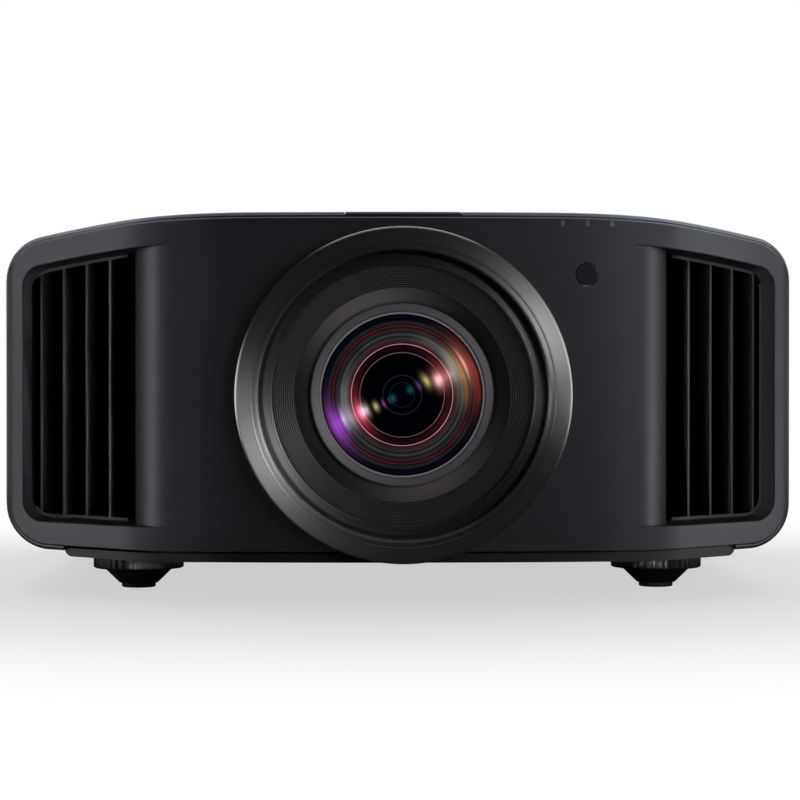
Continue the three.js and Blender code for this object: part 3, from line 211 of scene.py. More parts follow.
class Skin:
    """Smooth patches that carry their exact normals, gathered into one mesh."""

    def __init__(self):
        self.points, self.normals, self.faces = [], [], []

    def grid(self, rows):
        """Quads between rows of (point, normal) pairs, all rows equally long."""
        width = len(rows[0])
        base = len(self.points)
        for row in rows:
            for point, normal in row:
                self.points.append(Vector(point))
                self.normals.append(Vector(normal).normalized())
        for i in range(len(rows) - 1):
            for j in range(width - 1):
                a = base + i * width + j
                self.face([a, a + 1, a + width + 1, a + width])

    def band(self, edges, normal):
        """A flat patch between edges, each a list of points, with one normal."""
        self.grid([[(point, normal) for point in edge] for edge in edges])

    def face(self, corners):
        """One face, turned to agree with its normals. Repeated corners are dropped."""
        kept = []
        for corner in corners:
            if all((self.points[corner] - self.points[k]).length > 1e-4 for k in kept):
                kept.append(corner)
        if len(kept) < 3:
            return
        a, b, c = (self.points[k] for k in kept[:3])
        side = (b - a).cross(c - a)
        if len(kept) == 4:
            side += (c - a).cross(self.points[kept[3]] - a)
        mean = sum((self.normals[k] for k in kept), Vector())
        self.faces.append(kept if side.dot(mean) > 0 else kept[::-1])

    def build(self, name):
        """The mesh object, in metres."""
        mesh = bpy.data.meshes.new(name)
        mesh.from_pydata([p * MM for p in self.points], [], self.faces)
        mesh.shade_smooth()
        mesh.normals_split_custom_set_from_vertices(self.normals)
        mesh.update()
        return link(bpy.data.objects.new(name, mesh))


def link(obj):
    bpy.context.scene.collection.objects.link(obj)
    return obj


def finish_mesh(name, bm, angle=32):
    """Turns a bmesh into a smooth-shaded object whose edges sharper than angle stay crisp."""
    mesh = bpy.data.meshes.new(name)
    bm.normal_update()
    bm.to_mesh(mesh)
    bm.free()
    mesh.shade_smooth()
    mesh.set_sharp_from_angle(angle=math.radians(angle))
    return link(bpy.data.objects.new(name, mesh))


def rounded_copy(node, width):
    """A new piece with a CAD node's shape and rounded edges of the given width."""
    bm = bmesh.new()
    bm.from_mesh(frame["nodes"][node].data)
    bmesh.ops.remove_doubles(bm, verts=bm.verts, dist=2e-6)
    flat = math.radians(0.6)
    bmesh.ops.dissolve_limit(bm, angle_limit=flat, verts=bm.verts, edges=bm.edges)
    obj = finish_mesh(f"{node}_shape", bm)
    bevel = obj.modifiers.new("edges", "BEVEL")
    bevel.width, bevel.segments = width * MM, 2
    bevel.limit_method, bevel.angle_limit = "ANGLE", math.radians(38)
    bevel.use_clamp_overlap = True
    bevel.face_strength_mode = "FSTR_ALL"
    weighted = obj.modifiers.new("weighted", "WEIGHTED_NORMAL")
    weighted.use_face_influence, weighted.weight = True, 100
    return obj


def soften(profile, radius):
    """Rounds each corner of a closed (radius, depth) profile; nearly straight ones stay."""
    out = []
    for i, corner in enumerate(profile):
        here = Vector(corner)
        before = Vector(profile[i - 1]) - here
        after = Vector(profile[(i + 1) % len(profile)]) - here
        if before.angle(after) > math.radians(165):
            out.append(here)
            continue
        reach = min(radius, before.length * 0.45, after.length * 0.45)
        start = here + before.normalized() * reach
        end = here + after.normalized() * reach
        for t in steps(0, 1, 2):
            out.append(start * (1 - t) ** 2 + here * (2 * t * (1 - t)) + end * t**2)
    return out


def loft(bm, rings, ends="capped"):
    """Faces from ring to ring of points in mm; the ends are capped, open or joined to each other."""
    made = [[bm.verts.new([c * MM for c in spot]) for spot in ring] for ring in rings]
    following = made[1:] + made[:1] if ends == "joined" else made[1:]
    for near, far in zip(made, following):
        for i in range(len(near)):
            j = (i + 1) % len(near)
            bm.faces.new((near[i], near[j], far[j], far[i]))
    if ends == "capped":
        bm.faces.new(made[0])
        bm.faces.new(made[-1])
    bmesh.ops.recalc_face_normals(bm, faces=bm.faces)


def lathe(name, profile, centre, segments, axis="Y", closed=True, swell=None):
    """A turned piece. profile is (radius, depth); swell(depth, angle) scales the radius."""
    rings = []
    for radius, depth in profile:
        ring = []
        for angle in steps(0, 2 * math.pi, segments)[:-1]:
            r = radius * (swell(depth, angle) if swell else 1.0)
            u, v = r * math.cos(angle), r * math.sin(angle)
            ring.append((u, depth, v) if axis == "Y" else (u, v, depth))
        rings.append(ring)
    bm = bmesh.new()
    loft(bm, rings, "joined" if closed else "open")
    bmesh.ops.remove_doubles(bm, verts=bm.verts, dist=1e-6)
    obj = finish_mesh(name, bm, 40)
    obj.location = Vector(centre) * MM
    weighted = obj.modifiers.new("weighted", "WEIGHTED_NORMAL")
    weighted.keep_sharp, weighted.weight = True, 100
    return obj


# ---------------------------------------------------------------- materials


class Wiring:
    """A node tree under construction, with short forms for the nodes that come up again."""

    def __init__(self, tree):
        self.tree = tree
        tree.nodes.clear()
        self.place = self.add("ShaderNodeTexCoord").outputs
        self.coords = self.place["Object"]

    def add(self, kind, settings=None, **inputs):
        """Adds a node. An input is named or numbered (i0), and takes a value or another output."""
        node = self.tree.nodes.new(kind)
        for name, value in (settings or {}).items():
            setattr(node, name, value)
        for name, value in inputs.items():
            key = int(name[1:]) if name[1:].isdigit() else name.replace("_", " ")
            if isinstance(value, bpy.types.NodeSocket):
                self.tree.links.new(value, node.inputs[key])
            else:
                node.inputs[key].default_value = value
        return node

    def math(self, operation, a, b=0.0, clamp=False):
        return self.add("ShaderNodeMath", {"operation": operation, "use_clamp": clamp}, i0=a, i1=b).outputs[0]

    def vector(self, operation, a, **inputs):
        return self.add("ShaderNodeVectorMath", {"operation": operation}, i0=a, **inputs).outputs[0]

    def noise(self, scale, detail=3.0, roughness=0.55, vector=None):
        place = vector or self.coords
        node = self.add("ShaderNodeTexNoise", Vector=place, Scale=scale, Detail=detail, Roughness=roughness)
        return node.outputs["Fac"]

    def span(self, value, low, high, start=0.0, end=1.0, kind="LINEAR"):
        """Maps start..end on to low..high."""
        ends = {"From_Min": start, "From_Max": end, "To_Min": low, "To_Max": high}
        return self.add("ShaderNodeMapRange", {"interpolation_type": kind}, Value=value, **ends).outputs[0]

    def vary(self, noise, low, high):
        """Maps the range that a noise mostly keeps to on to low..high."""
        return self.span(noise, low, high, 0.3, 0.7)

    def mix(self, factor, a, b):
        return self.add("ShaderNodeMix", {"data_type": "RGBA"}, i0=factor, i6=a, i7=b).outputs[2]

    def bump(self, height, strength, distance):
        node = self.add("ShaderNodeBump", Strength=strength, Distance=distance, Height=height)
        return node.outputs["Normal"]

    def polar(self):
        """Radius in metres round a piece's own Y axis, and the piece's coordinates."""
        away = self.add("ShaderNodeSeparateXYZ", Vector=self.coords).outputs
        square = self.math("ADD", self.math("POWER", away["X"], 2.0), self.math("POWER", away["Z"], 2.0))
        return self.math("MAXIMUM", self.math("SQRT", square), 0.0001), away

    def turned(self):
        """The direction of tool marks round a piece's own Y axis."""
        return self.add("ShaderNodeTangent", {"direction_type": "RADIAL", "axis": "Y"}).outputs[0]


class Paint(Wiring):
    """The node tree of a new material."""

    def __init__(self, name):
        self.material = bpy.data.materials.new(name)
        self.material.use_nodes = True
        super().__init__(self.material.node_tree)

    def finish(self, **inputs):
        """Closes the material with one Principled surface."""
        surface = self.add("ShaderNodeBsdfPrincipled", **inputs)
        self.add("ShaderNodeOutputMaterial", Surface=surface.outputs[0])
        return self.material


def grey(level, blue=0.0):
    """A linear grey, a little bluer or warmer."""
    return (level * (1 - blue * 0.5), level, level * (1 + blue), 1)


def shade(colour, factor):
    """A darker or paler colour, kept within 0 to 1."""
    return tuple(min(1.0, c * factor) for c in colour[:3]) + (1,)


COOL_GLOSS = (0.92, 0.94, 1.0, 1)


def plastic(name, colour, roughness, grain=900, depth=0.00004, mottle=0.12, specular=0.5, coat=0.0):
    """Moulded plastic: fine grain, a faint mottle in the colour and in the gloss."""
    paint = Paint(name)
    cloud = paint.noise(14, 4.0)
    fine = paint.noise(grain, 2.0, 0.6)
    blotch = paint.math("MULTIPLY", cloud, paint.span(fine, 0.32, 0.67), True)
    patches = paint.vary(cloud, roughness * 0.94, roughness * 1.06)
    inputs = {
        "Base_Color": paint.mix(blotch, shade(colour, 1 - mottle), shade(colour, 1 + mottle)),
        "Roughness": paint.math("ADD", patches, paint.vary(fine, -0.03, 0.03)),
        "Specular_IOR_Level": specular,
        "Specular_Tint": COOL_GLOSS,
        "Normal": paint.bump(fine, 0.5, depth),
    }
    if coat:
        inputs.update(Coat_Weight=coat, Coat_Roughness=0.12)
    return paint.finish(**inputs)


def turned_metal(name, colour, roughness, anisotropy, metallic=1.0):
    """Lathe-turned metal: hair-fine grooves round the Y axis of the piece's own origin."""
    paint = Paint(name)
    radius, away = paint.polar()
    along = paint.add("ShaderNodeCombineXYZ", X=radius, Y=away["Y"]).outputs[0]
    groove = paint.noise(2600, 3.0, 0.7, along)
    band = paint.noise(160, 2.0, 0.5, along)
    smear = paint.noise(9, 2.0)
    tone = paint.math("MULTIPLY", paint.vary(groove, 0.82, 1.15), paint.vary(band, 0.93, 1.07))
    gloss = paint.vary(groove, roughness * 0.88, roughness * 1.12)
    return paint.finish(
        Base_Color=paint.vector("SCALE", colour[:3], Scale=tone),
        Metallic=metallic,
        Roughness=paint.math("ADD", gloss, paint.span(smear, -0.02, 0.02)),
        Anisotropic=anisotropy,
        Anisotropic_Rotation=0.25,
        Tangent=paint.turned(),
        Normal=paint.bump(groove, 0.35, 0.000012),
    )


def cast_metal(name, colour, roughness):
    """Plain or plated metal with a faint grain and dull patches."""
    paint = Paint(name)
    cloud = paint.noise(30, 4.0)
    fine = paint.noise(500, 3.0)
    return paint.finish(
        Base_Color=paint.mix(paint.span(cloud, 0, 1, 0.35, 0.65), shade(colour, 0.82), colour),
        Metallic=1.0,
        Roughness=paint.vary(cloud, roughness * 0.85, roughness * 1.2),
        Normal=paint.bump(fine, 0.4, 0.00006),
    )


def rubber(name, colour):
    """Dull rubber with dust in its grain."""
    paint = Paint(name)
    fine = paint.noise(1400, 3.0)
    dust = paint.noise(45, 4.0)
    return paint.finish(
        Base_Color=paint.mix(paint.span(dust, 0, 0.6, 0.45, 0.8), colour, shade(colour, 1.9)),
        Roughness=paint.vary(fine, 0.72, 0.9),
        Normal=paint.bump(fine, 0.7, 0.00008),
    )


def board_green(name):
    """A circuit board: solder mask with the tracks showing through it."""
    paint = Paint(name)
    mask = {"Color1": (0.012, 0.10, 0.035, 1), "Color2": (0.010, 0.085, 0.030, 1)}
    lines = {"Mortar": (0.03, 0.19, 0.07, 1), "Mortar_Size": 0.06, "Scale": 120.0}
    tracks = paint.add("ShaderNodeTexBrick", {"offset": 0.5}, Vector=paint.coords, **mask, **lines)
    return paint.finish(
        Base_Color=tracks.outputs["Color"],
        Roughness=paint.span(paint.noise(60), 0.28, 0.42),
        Coat_Weight=0.4,
        Normal=paint.bump(tracks.outputs["Fac"], 0.4, 0.00006),
    )


def foam(name):
    """Open-celled black foam."""
    paint = Paint(name)
    cells = paint.add("ShaderNodeTexVoronoi", Vector=paint.coords, Scale=700.0).outputs["Distance"]
    wall, pore = (0.045, 0.045, 0.047, 1), (0.012, 0.012, 0.013, 1)
    return paint.finish(
        Base_Color=paint.mix(paint.span(cells, 0, 1, 0.0, 0.7), wall, pore),
        Roughness=0.95,
        Normal=paint.bump(cells, 1.0, 0.0006),
    )


# ---------------------------------------------------------------- the front fascia

RIM_ROUND, MOUTH_ROUND, MOUTH_FADE, HOLE_DEPTH = 0.7, 0.8, 4.0, 4.0
FACE = housing_outline(FASCIA_INSET + RIM_ROUND)
MOUTH, MOUTH_OUT = mouth_outline(0.0), mouth_outline(MOUTH_ROUND)


class Hole:
    """A hole through the front face with round ends and straight sides, or a circle."""

    def __init__(self, box, gap):
        low, high = box
        self.x, self.z = (low.x + high.x) / 2, (low.z + high.z) / 2
        self.radius = (high.x - low.x) / 2 + gap
        self.rise = (high.z - low.z) / 2 + gap - self.radius
        self.long = self.rise > 0.01
        self.range = self.x - self.radius, self.x + self.radius

    def columns(self, count):
        """x values that draw the hole's round ends well."""
        return [self.x - self.radius * math.cos(turn) for turn in steps(0, math.pi, count)]

    def edge(self, x):
        """Low and high edges of the hole at x."""
        bow = math.sqrt(max(0.0, self.radius**2 - (x - self.x) ** 2))
        return self.z - self.rise - bow, self.z + self.rise + bow

    def outline(self, count):
        """The hole's outline as (x, z, outward normal), closed, with count points to each end."""
        out = []
        for i, turn in enumerate(steps(0, 2 * math.pi, count * 2)):
            normal = Vector((math.cos(turn), 0, math.sin(turn)))
            shift = self.rise if i <= count else -self.rise
            out.append((self.x + self.radius * normal.x, self.z + shift + self.radius * normal.z, normal))
            if i == count and self.long:
                out.append((self.x - self.radius, self.z - self.rise, normal))
        return out + out[:1] if self.long else out


LENS_HOLE = Hole(RING, -5.0)
WINDOW_HOLE = Hole(WINDOW, 0.45)
GUIDE_HOLES = [Hole(box, 0.3) for box in GUIDES]


def face_columns():
    """Every x at which the front face gets a column of vertices."""
    xs = steps(0, FACE_HALF, 14) + steps(SWEEP_X0, SWEEP_X1, 6)
    xs += [TURN_X + TURN_R * math.sin(turn) for turn in steps(FACE_TURN, SWEEP, 20)]
    xs += [CORNER_X + CORNER_R * math.sin(turn) for turn in steps(SWEEP, math.pi / 2, 6)]
    xs += FACE.knots() + MOUTH_OUT.knots() + steps(CHEEK_X, CHEEK_X + MOUTH_FADE, 4)
    xs = [x for x in xs if x <= FACE.half]
    xs += [x for x in LENS_HOLE.columns(36) if x >= 0]
    both = xs + [-x for x in xs] + WINDOW_HOLE.columns(16)
    for hole in GUIDE_HOLES:
        both += hole.columns(8)
    kept = []
    for x in sorted(both):
        if not kept or x - kept[-1] > 0.02:
            kept.append(x)
    return kept


def mouth_fade(x):
    """The mouth's edge is rounded, and the rounding fades out at its tip beside the lens."""
    return min(1.0, max(0.0, abs(x) - CHEEK_X) / MOUTH_FADE)


def mouth_edge(x):
    """Low and high edges of the face's cut round a vent mouth, at x."""
    fade = mouth_fade(x)
    low, high = MOUTH.bottom(x)[0], MOUTH.top(x)[0]
    return low + (MOUTH_OUT.bottom(x)[0] - low) * fade, high + (MOUTH_OUT.top(x)[0] - high) * fade


def face_holes():
    """Each hole through the front face: its x range and its edges."""
    holes = [(CHEEK_X, MOUTH_OUT.half, mouth_edge), (-MOUTH_OUT.half, -CHEEK_X, mouth_edge)]
    return holes + [(*hole.range, hole.edge) for hole in (LENS_HOLE, WINDOW_HOLE, *GUIDE_HOLES)]


def fill_face(skin, xs):
    """The front face itself: columns of quads between the holes."""
    holes = face_holes()
    for a, b in zip(xs, xs[1:]):
        middle = (a + b) / 2
        cuts = sorted((edge(middle)[0], edge) for start, end, edge in holes if start < middle < end)
        left, right = [FACE.bottom(a)[0]], [FACE.bottom(b)[0]]
        for _, edge in cuts:
            left += edge(a)
            right += edge(b)
        left.append(FACE.top(a)[0])
        right.append(FACE.top(b)[0])
        for k in range(0, len(left), 2):
            rows = []
            for x, zs in ((a, left), (b, right)):
                low, high = zs[k], max(zs[k], zs[k + 1])
                rows.append([(on_face(x, z), face_normal(x)) for z in steps(low, high, 4)])
            skin.grid(rows)


def rim_loop(xs):
    """The fascia's outline with its outward normals, anticlockwise from the bottom left."""
    loop = [(x, *FACE.bottom(x)) for x in xs]
    side = Vector((1, 0, 0))
    low, high = FACE.bottom(FACE.half)[0], FACE.top(FACE.half)[0]
    loop += [(FACE.half, z, side) for z in steps(low, high, 6)]
    loop += [(x, *FACE.top(x)) for x in reversed(xs)]
    loop += [(-FACE.half, z, -side) for z in steps(high, low, 6)]
    return loop


def round_edge(skin, loop, radius, side, back):
    """A rounded edge from the front face on to a wall that goes straight back.

    loop has (x, z, outward normal, share of the radius), and back the wall's depth at each.
    side is 1 for the plate's own rim and -1 for the rim of a hole in it.
    """
    rows = []
    for turn in steps(0, math.pi / 2, 5):
        row = []
        for x, z, normal, share in loop:
            r = radius * share
            reach = side * r * math.sin(turn)
            px, pz = x + normal.x * reach, z + normal.z * reach
            lean = face_normal(px) * math.cos(turn) + normal * (side * math.sin(turn))
            row.append((on_face(px, pz, r * (1 - math.cos(turn))), lean))
        rows.append(row)
    skin.grid(rows)
    near, far = [], []
    for (point, _), (_, _, normal, _), depth in zip(rows[-1], loop, back):
        near.append((point, normal * side))
        far.append(((point.x, max(face_y(point.x) + depth, point.y), point.z), normal * side))
    skin.grid([near, far])


def mouth_loop(side):
    """The cut round a vent mouth, from its top tip round the outer side to its bottom tip."""
    end = MOUTH_OUT.half
    xs = [x for x in COLUMNS if CHEEK_X - 0.001 <= x <= end + 0.001]
    spots = [(x, mouth_edge(x)[1], MOUTH_OUT.top(x)[1]) for x in xs]
    heights = steps(MOUTH_OUT.top(end)[0], MOUTH_OUT.bottom(end)[0], 8)[1:-1]
    spots += [(end, z, Vector((1, 0, 0))) for z in heights]
    spots += [(x, mouth_edge(x)[0], MOUTH_OUT.bottom(x)[1]) for x in reversed(xs)]
    return [(side * x, z, Vector((side * n.x, 0, n.z)), mouth_fade(x)) for x, z, n in spots]


CHEEK_SLOPE = (CHEEK_X - TURN_X) / (TURN_Y - face_y(CHEEK_X))
CHEEK_TURN = math.atan(CHEEK_SLOPE * CHEEK_REACH / CHEEK_DEPTH)
CHEEK_CX = CHEEK_X - CHEEK_REACH * math.sin(CHEEK_TURN)
CHEEK_CY = face_y(CHEEK_X) + CHEEK_DEPTH * math.cos(CHEEK_TURN)
CHEEK_END = CHEEK_CX + CHEEK_REACH


def cheek_y(x):
    """The cheek's surface seen from above: a quarter ellipse."""
    reach = min(1.0, (abs(x) - CHEEK_CX) / CHEEK_REACH)
    return CHEEK_CY - CHEEK_DEPTH * math.sqrt(1 - reach**2)


def add_cheek(skin, side):
    """The face's rounded return into the vent, then the straight wall behind it."""
    rows = []
    for turn in steps(CHEEK_TURN, math.pi / 2, 28):
        x = CHEEK_CX + CHEEK_REACH * math.sin(turn)
        y = CHEEK_CY - CHEEK_DEPTH * math.cos(turn)
        normal = (side * CHEEK_DEPTH * math.sin(turn), -CHEEK_REACH * math.cos(turn), 0)
        heights = steps(MOUTH.bottom(x)[0], MOUTH.top(x)[0], 6)
        rows.append([((side * x, y, z), normal) for z in heights])
    skin.grid(rows)
    x, back = side * CHEEK_END, face_y(CHEEK_END) + SLEEVE_DEPTH
    skin.band([[(x, y, z) for z in heights] for y in (CHEEK_CY, back)], (side, 0, 0))


def add_mouth(skin, side):
    """The mouth's rounded edge and the sleeve's ceiling, outer wall and floor."""
    loop = mouth_loop(side)
    back = [cheek_y(x) - face_y(x) if abs(x) < CHEEK_END else SLEEVE_DEPTH for x, _, _, _ in loop]
    round_edge(skin, loop, MOUTH_ROUND, -1, back)


def add_small_hole(skin, outline):
    """A small hole's slightly eased edge and its wall. outline has (x, z, outward normal)."""
    rows = []
    for ease, back, lean in ((0, 0, 0.0), (0.12, 0.05, 0.5), (0.25, 0.25, 1.0), (0.25, HOLE_DEPTH, 1.0)):
        spots = sunk(outline, ease)
        rows.append([(on_face(x, z, back), face_normal(x) * (1 - lean) - n * lean) for x, z, n in spots])
    skin.grid(rows)


COLUMNS = face_columns()


def build_fascia():
    """The front plate: its face, rim, vent mouths and small holes."""
    skin = Skin()
    fill_face(skin, COLUMNS)
    loop = [(x, z, normal, 1.0) for x, z, normal in rim_loop(COLUMNS)]
    loop.append(loop[0])
    round_edge(skin, loop, RIM_ROUND, 1, [FASCIA_RIM] * len(loop))
    for side in (-1, 1):
        add_cheek(skin, side)
        add_mouth(skin, side)
    add_small_hole(skin, WINDOW_HOLE.outline(16))
    for hole in GUIDE_HOLES:
        add_small_hole(skin, hole.outline(12))
    return skin.build("fascia_front")


# ---------------------------------------------------------------- the top cover

COVER_ROUND, REAR_ROUND, REAR_EASE = 2.0, 1.2, 0.4
TRAY_HALF = 208.3
STRIP = box_mm("top_center_strip")
STRIP_SIDE, STRIP_DEEP = 0.6, 1.5
BACK, UP = Vector((0, 1, 0)), Vector((0, 0, 1))


def cover_loop():
    """The cover's outline from the tray on the left, over the top, to the tray on the right."""
    right = sorted(set(HOUSING.knots() + steps(0, CROWN_HALF, 8) + steps(SWEEP_X0, SWEEP_X1, 8)))
    right = [x for x in right if x <= HOUSING.half]
    low = [TRAY_HALF] + [x for x in right if x >= TRAY_HALF]
    z0, z1 = HOUSING.bottom(HOUSING.half)[0], HOUSING.top(HOUSING.half)[0]
    loop = [(-x, *HOUSING.bottom(-x)) for x in low]
    loop += [(-HOUSING.half, z, Vector((-1, 0, 0))) for z in steps(z0, z1, 6)[1:-1]]
    loop += [(-x, *HOUSING.top(-x)) for x in reversed(right)]
    loop += [(x, *HOUSING.top(x)) for x in right[1:]]
    loop += [(HOUSING.half, z, Vector((1, 0, 0))) for z in steps(z1, z0, 6)[1:-1]]
    loop += [(x, *HOUSING.bottom(x)) for x in reversed(low)]
    return loop


def add_shell(skin, loop):
    """A shell along Y: rounded front edge, outer side, rounded rear edge, inner side."""
    lip = [(on_face(x, z, COVER_SETBACK), face_normal(x)) for x, z, _ in sunk(loop, COVER_WALL)]
    rows = []
    for turn in steps(0, math.pi / 2, 6):
        lean, out = math.cos(turn), math.sin(turn)
        depth = COVER_SETBACK + COVER_ROUND * (1 - lean)
        spots = sunk(loop, COVER_ROUND * (1 - out))
        rows.append([(on_face(x, z, depth), face_normal(x) * lean + n * out) for x, z, n in spots])
    skin.grid([lip] + rows)
    outer = [(p, n) for (p, _), (_, _, n) in zip(rows[-1], loop)]
    ends = []
    for turn in steps(0, math.pi / 2, 4):
        out, lean = math.cos(turn), math.sin(turn)
        y = REAR_Y - REAR_ROUND * (1 - lean)
        spots = sunk(loop, REAR_ROUND * (1 - out))
        ends.append([((x, y, z), n * out + BACK * lean) for x, z, n in spots])
    middle = []
    for share in steps(0, 1, 4)[1:-1]:
        middle.append([(a[0].lerp(Vector(b[0]), share), a[1]) for a, b in zip(outer, ends[0])])
    skin.grid([outer] + middle + ends)
    inner = [((x, REAR_Y, z), BACK) for x, z, _ in sunk(loop, COVER_WALL)]
    skin.grid([[(p, BACK) for p, _ in ends[-1]], inner])
    skin.grid([[(p, -n) for (p, _), (_, _, n) in zip(row, loop)] for row in (lip, inner)])


def build_cover():
    """The cover with the channel for its top strip sunk between two small walls."""
    half = STRIP[1].x + STRIP_SIDE
    left = []
    for x, z, normal in cover_loop():
        if z > TOP_Z - 1 and x > -half:
            break
        left.append((x, z, normal))
    left.append((-half, TOP_Z, UP))
    skin = Skin()
    add_shell(skin, left)
    add_shell(skin, [(-x, z, Vector((-n.x, 0, n.z))) for x, z, n in reversed(left)])
    floor = TOP_Z - STRIP_DEEP
    front, rear = COVER_SETBACK + 0.3, STRIP[1].y + STRIP_SIDE
    xs = steps(-half, half, 10)
    skin.band([[on_face(x, floor, front) for x in xs], [(x, rear, floor) for x in xs]], UP)
    skin.grid([[(on_face(x, z, front), face_normal(x)) for x in xs] for z in (TOP_Z - COVER_WALL, floor)])
    for side in (-1, 1):
        x = side * half
        wall = [[on_face(x, z, front), (x, rear, z)] for z in (floor, TOP_Z - 0.2)]
        skin.band(wall, Vector((-side, 0, 0)))
    tail = [(rear, floor), (rear, TOP_Z), (REAR_Y - REAR_EASE, TOP_Z), (REAR_Y, TOP_Z - REAR_EASE)]
    tail.append((REAR_Y, TOP_Z - COVER_WALL))
    for near, far, normal in zip(tail, tail[1:], (-BACK, UP, BACK + UP, BACK)):
        skin.band([[(x, y, z) for x in xs] for y, z in (near, far)], normal)
    return skin.build("cover_top")


def build_strip_seam(side):
    """A soft gasket with a crowned top that fills the slot beside the top strip."""
    near, far = STRIP[1].x + 0.1, STRIP[1].x + STRIP_SIDE - 0.1
    low, high, middle = TOP_Z - STRIP_DEEP + 0.1, TOP_Z - 0.5, (near + far) / 2
    section = [(near, low), (near, high - 0.2), (middle, high), (far, high - 0.2), (far, low)]
    front = face_y(middle) + COVER_SETBACK + 0.8
    bm = bmesh.new()
    loft(bm, [[(side * x, y, z) for x, z in section] for y in (front, STRIP[1].y)])
    return finish_mesh(f"strip_seam_{PLACE[side]}", bm)


def build_rear_lip():
    """A flange inside the cover that the rear panel's edge seats against."""
    front, rear = REAR[0].y - 2.2, REAR[0].y - 0.2
    near, far = (sunk(cover_loop(), COVER_WALL + inset) for inset in (-0.3, 5.0))
    rings = []
    for (x0, z0, _), (x1, z1, _) in zip(near, far):
        rings.append([(x0, front, z0), (x1, front, z1), (x1, rear, z1), (x0, rear, z0)])
    bm = bmesh.new()
    loft(bm, rings, "open")
    return finish_mesh("cover_rear_flange", bm)


# ---------------------------------------------------------------- dust screens behind the louvres, near-black as painted shade

SCREEN_DEPTH, SCREEN_PITCH, SCREEN_WIRE = 86.8, 1.9, 1.5
WIRE_FLAT = Vector((0, 0.35, 0))


def add_wire(bm, near, far, across):
    """A flat wire between two points, given half its width as a vector."""
    rings = []
    for point in (near, far):
        left, right = point - across, point + across
        rings.append([left - WIRE_FLAT, right - WIRE_FLAT, right + WIRE_FLAT, left + WIRE_FLAT])
    loft(bm, rings)


def build_screen(side):
    """A woven dust screen that follows the louvre's rear inside one vent, near-black as painted shade behind
    the fins.
    """
    bm = bmesh.new()
    inner, outer = VENT[0].x + 0.6, VENT[1].x - 0.6
    low, high = VENT[0].z, VENT[1].z
    heights = {}
    for x in steps(inner, outer, round((outer - inner) / SCREEN_PITCH)):
        heights[x] = MOUTH.bottom(x)[0] + 0.8, MOUTH.top(x)[0] - 0.8
        ends = (on_face(side * x, z, SCREEN_DEPTH) for z in heights[x])
        add_wire(bm, *ends, Vector((SCREEN_WIRE / 2, 0, 0)))
    for z in steps(low + 1.5, high - 1.5, round((high - low) / SCREEN_PITCH)):
        reach = [x for x, (under, over) in heights.items() if under <= z <= over]
        if len(reach) > 1:
            ends = (on_face(side * x, z, SCREEN_DEPTH) for x in (reach[0], reach[-1]))
            add_wire(bm, *ends, Vector((0, 0, SCREEN_WIRE / 2)))
    return finish_mesh(f"screen_{PLACE[side]}", bm)


# ---------------------------------------------------------------- the lens

LENS_CENTRE = (0.0, FACE_Y, LENS_Z)
INNER = box_mm("lens_inner_ring")
HOOD = box_mm("lens_hood")
KEEPER = box_mm("lens_retaining_ring")
GLASS = box_mm("front_lens")


def half_width(box):
    return (box[1].x - box[0].x) / 2


def depths(box):
    """Depths of a box's front and rear behind the middle of the front face."""
    return box[0].y - FACE_Y, box[1].y - FACE_Y


def build_trim_ring():
    """The wide ring: turned bevel, inner slope and a skirt into the face."""
    front, rear = depths(RING)
    bore, lip = LENS_R - 13.4, LENS_R - 9.2
    profile = [
        (bore, front + 4.0), (bore, front + 1.4), (bore + 0.35, front + 0.95), (bore + 0.7, front + 0.95),
        (bore + 0.9, front + 0.72), (lip - 0.9, front + 0.66), (lip - 0.4, front + 0.34), (lip, front + 0.24),
        (LENS_R - 1.3, front), (LENS_R - 0.5, front + 0.5), (LENS_R, front + 1.8), (LENS_R, rear),
        (LENS_R - 4.0, rear), (LENS_R - 4.0, rear - 4.0), (bore, rear - 4.0),
    ]
    return lathe("trim_ring_turned", soften(profile, 0.18), LENS_CENTRE, 224)


def build_inner_ring():
    """The satin ring inside the trim ring, with a fine groove turned into it."""
    outer = half_width(INNER)
    front, rear = depths(INNER)
    rim, bore = outer - 11.2, outer - 16.5
    profile = [
        (bore, front + 1.1), (bore + 0.55, front + 0.25), (bore + 1.2, front + 0.25),
        (bore + 1.35, front + 0.5), (bore + 1.6, front + 0.5), (bore + 1.75, front),
        (rim - 0.5, front), (rim, front + 0.5), (rim, rear - 2.0), (outer, rear - 2.0), (outer, rear),
        (bore, rear),
    ]
    return lathe("inner_ring_turned", soften(profile, 0.12), LENS_CENTRE, 208)


KEEPER_R = half_width(KEEPER)
KEEPER_BORE = KEEPER_R - 5.7
HOOD_MOUTH = KEEPER_R + 20.7
HOOD_KNEE = HOOD_MOUTH - 11.4
HOOD_THROAT = HOOD_MOUTH - 20.4
HOOD_WALL = 3.4
RIBS, RIB_WIDTH = 9, 0.72


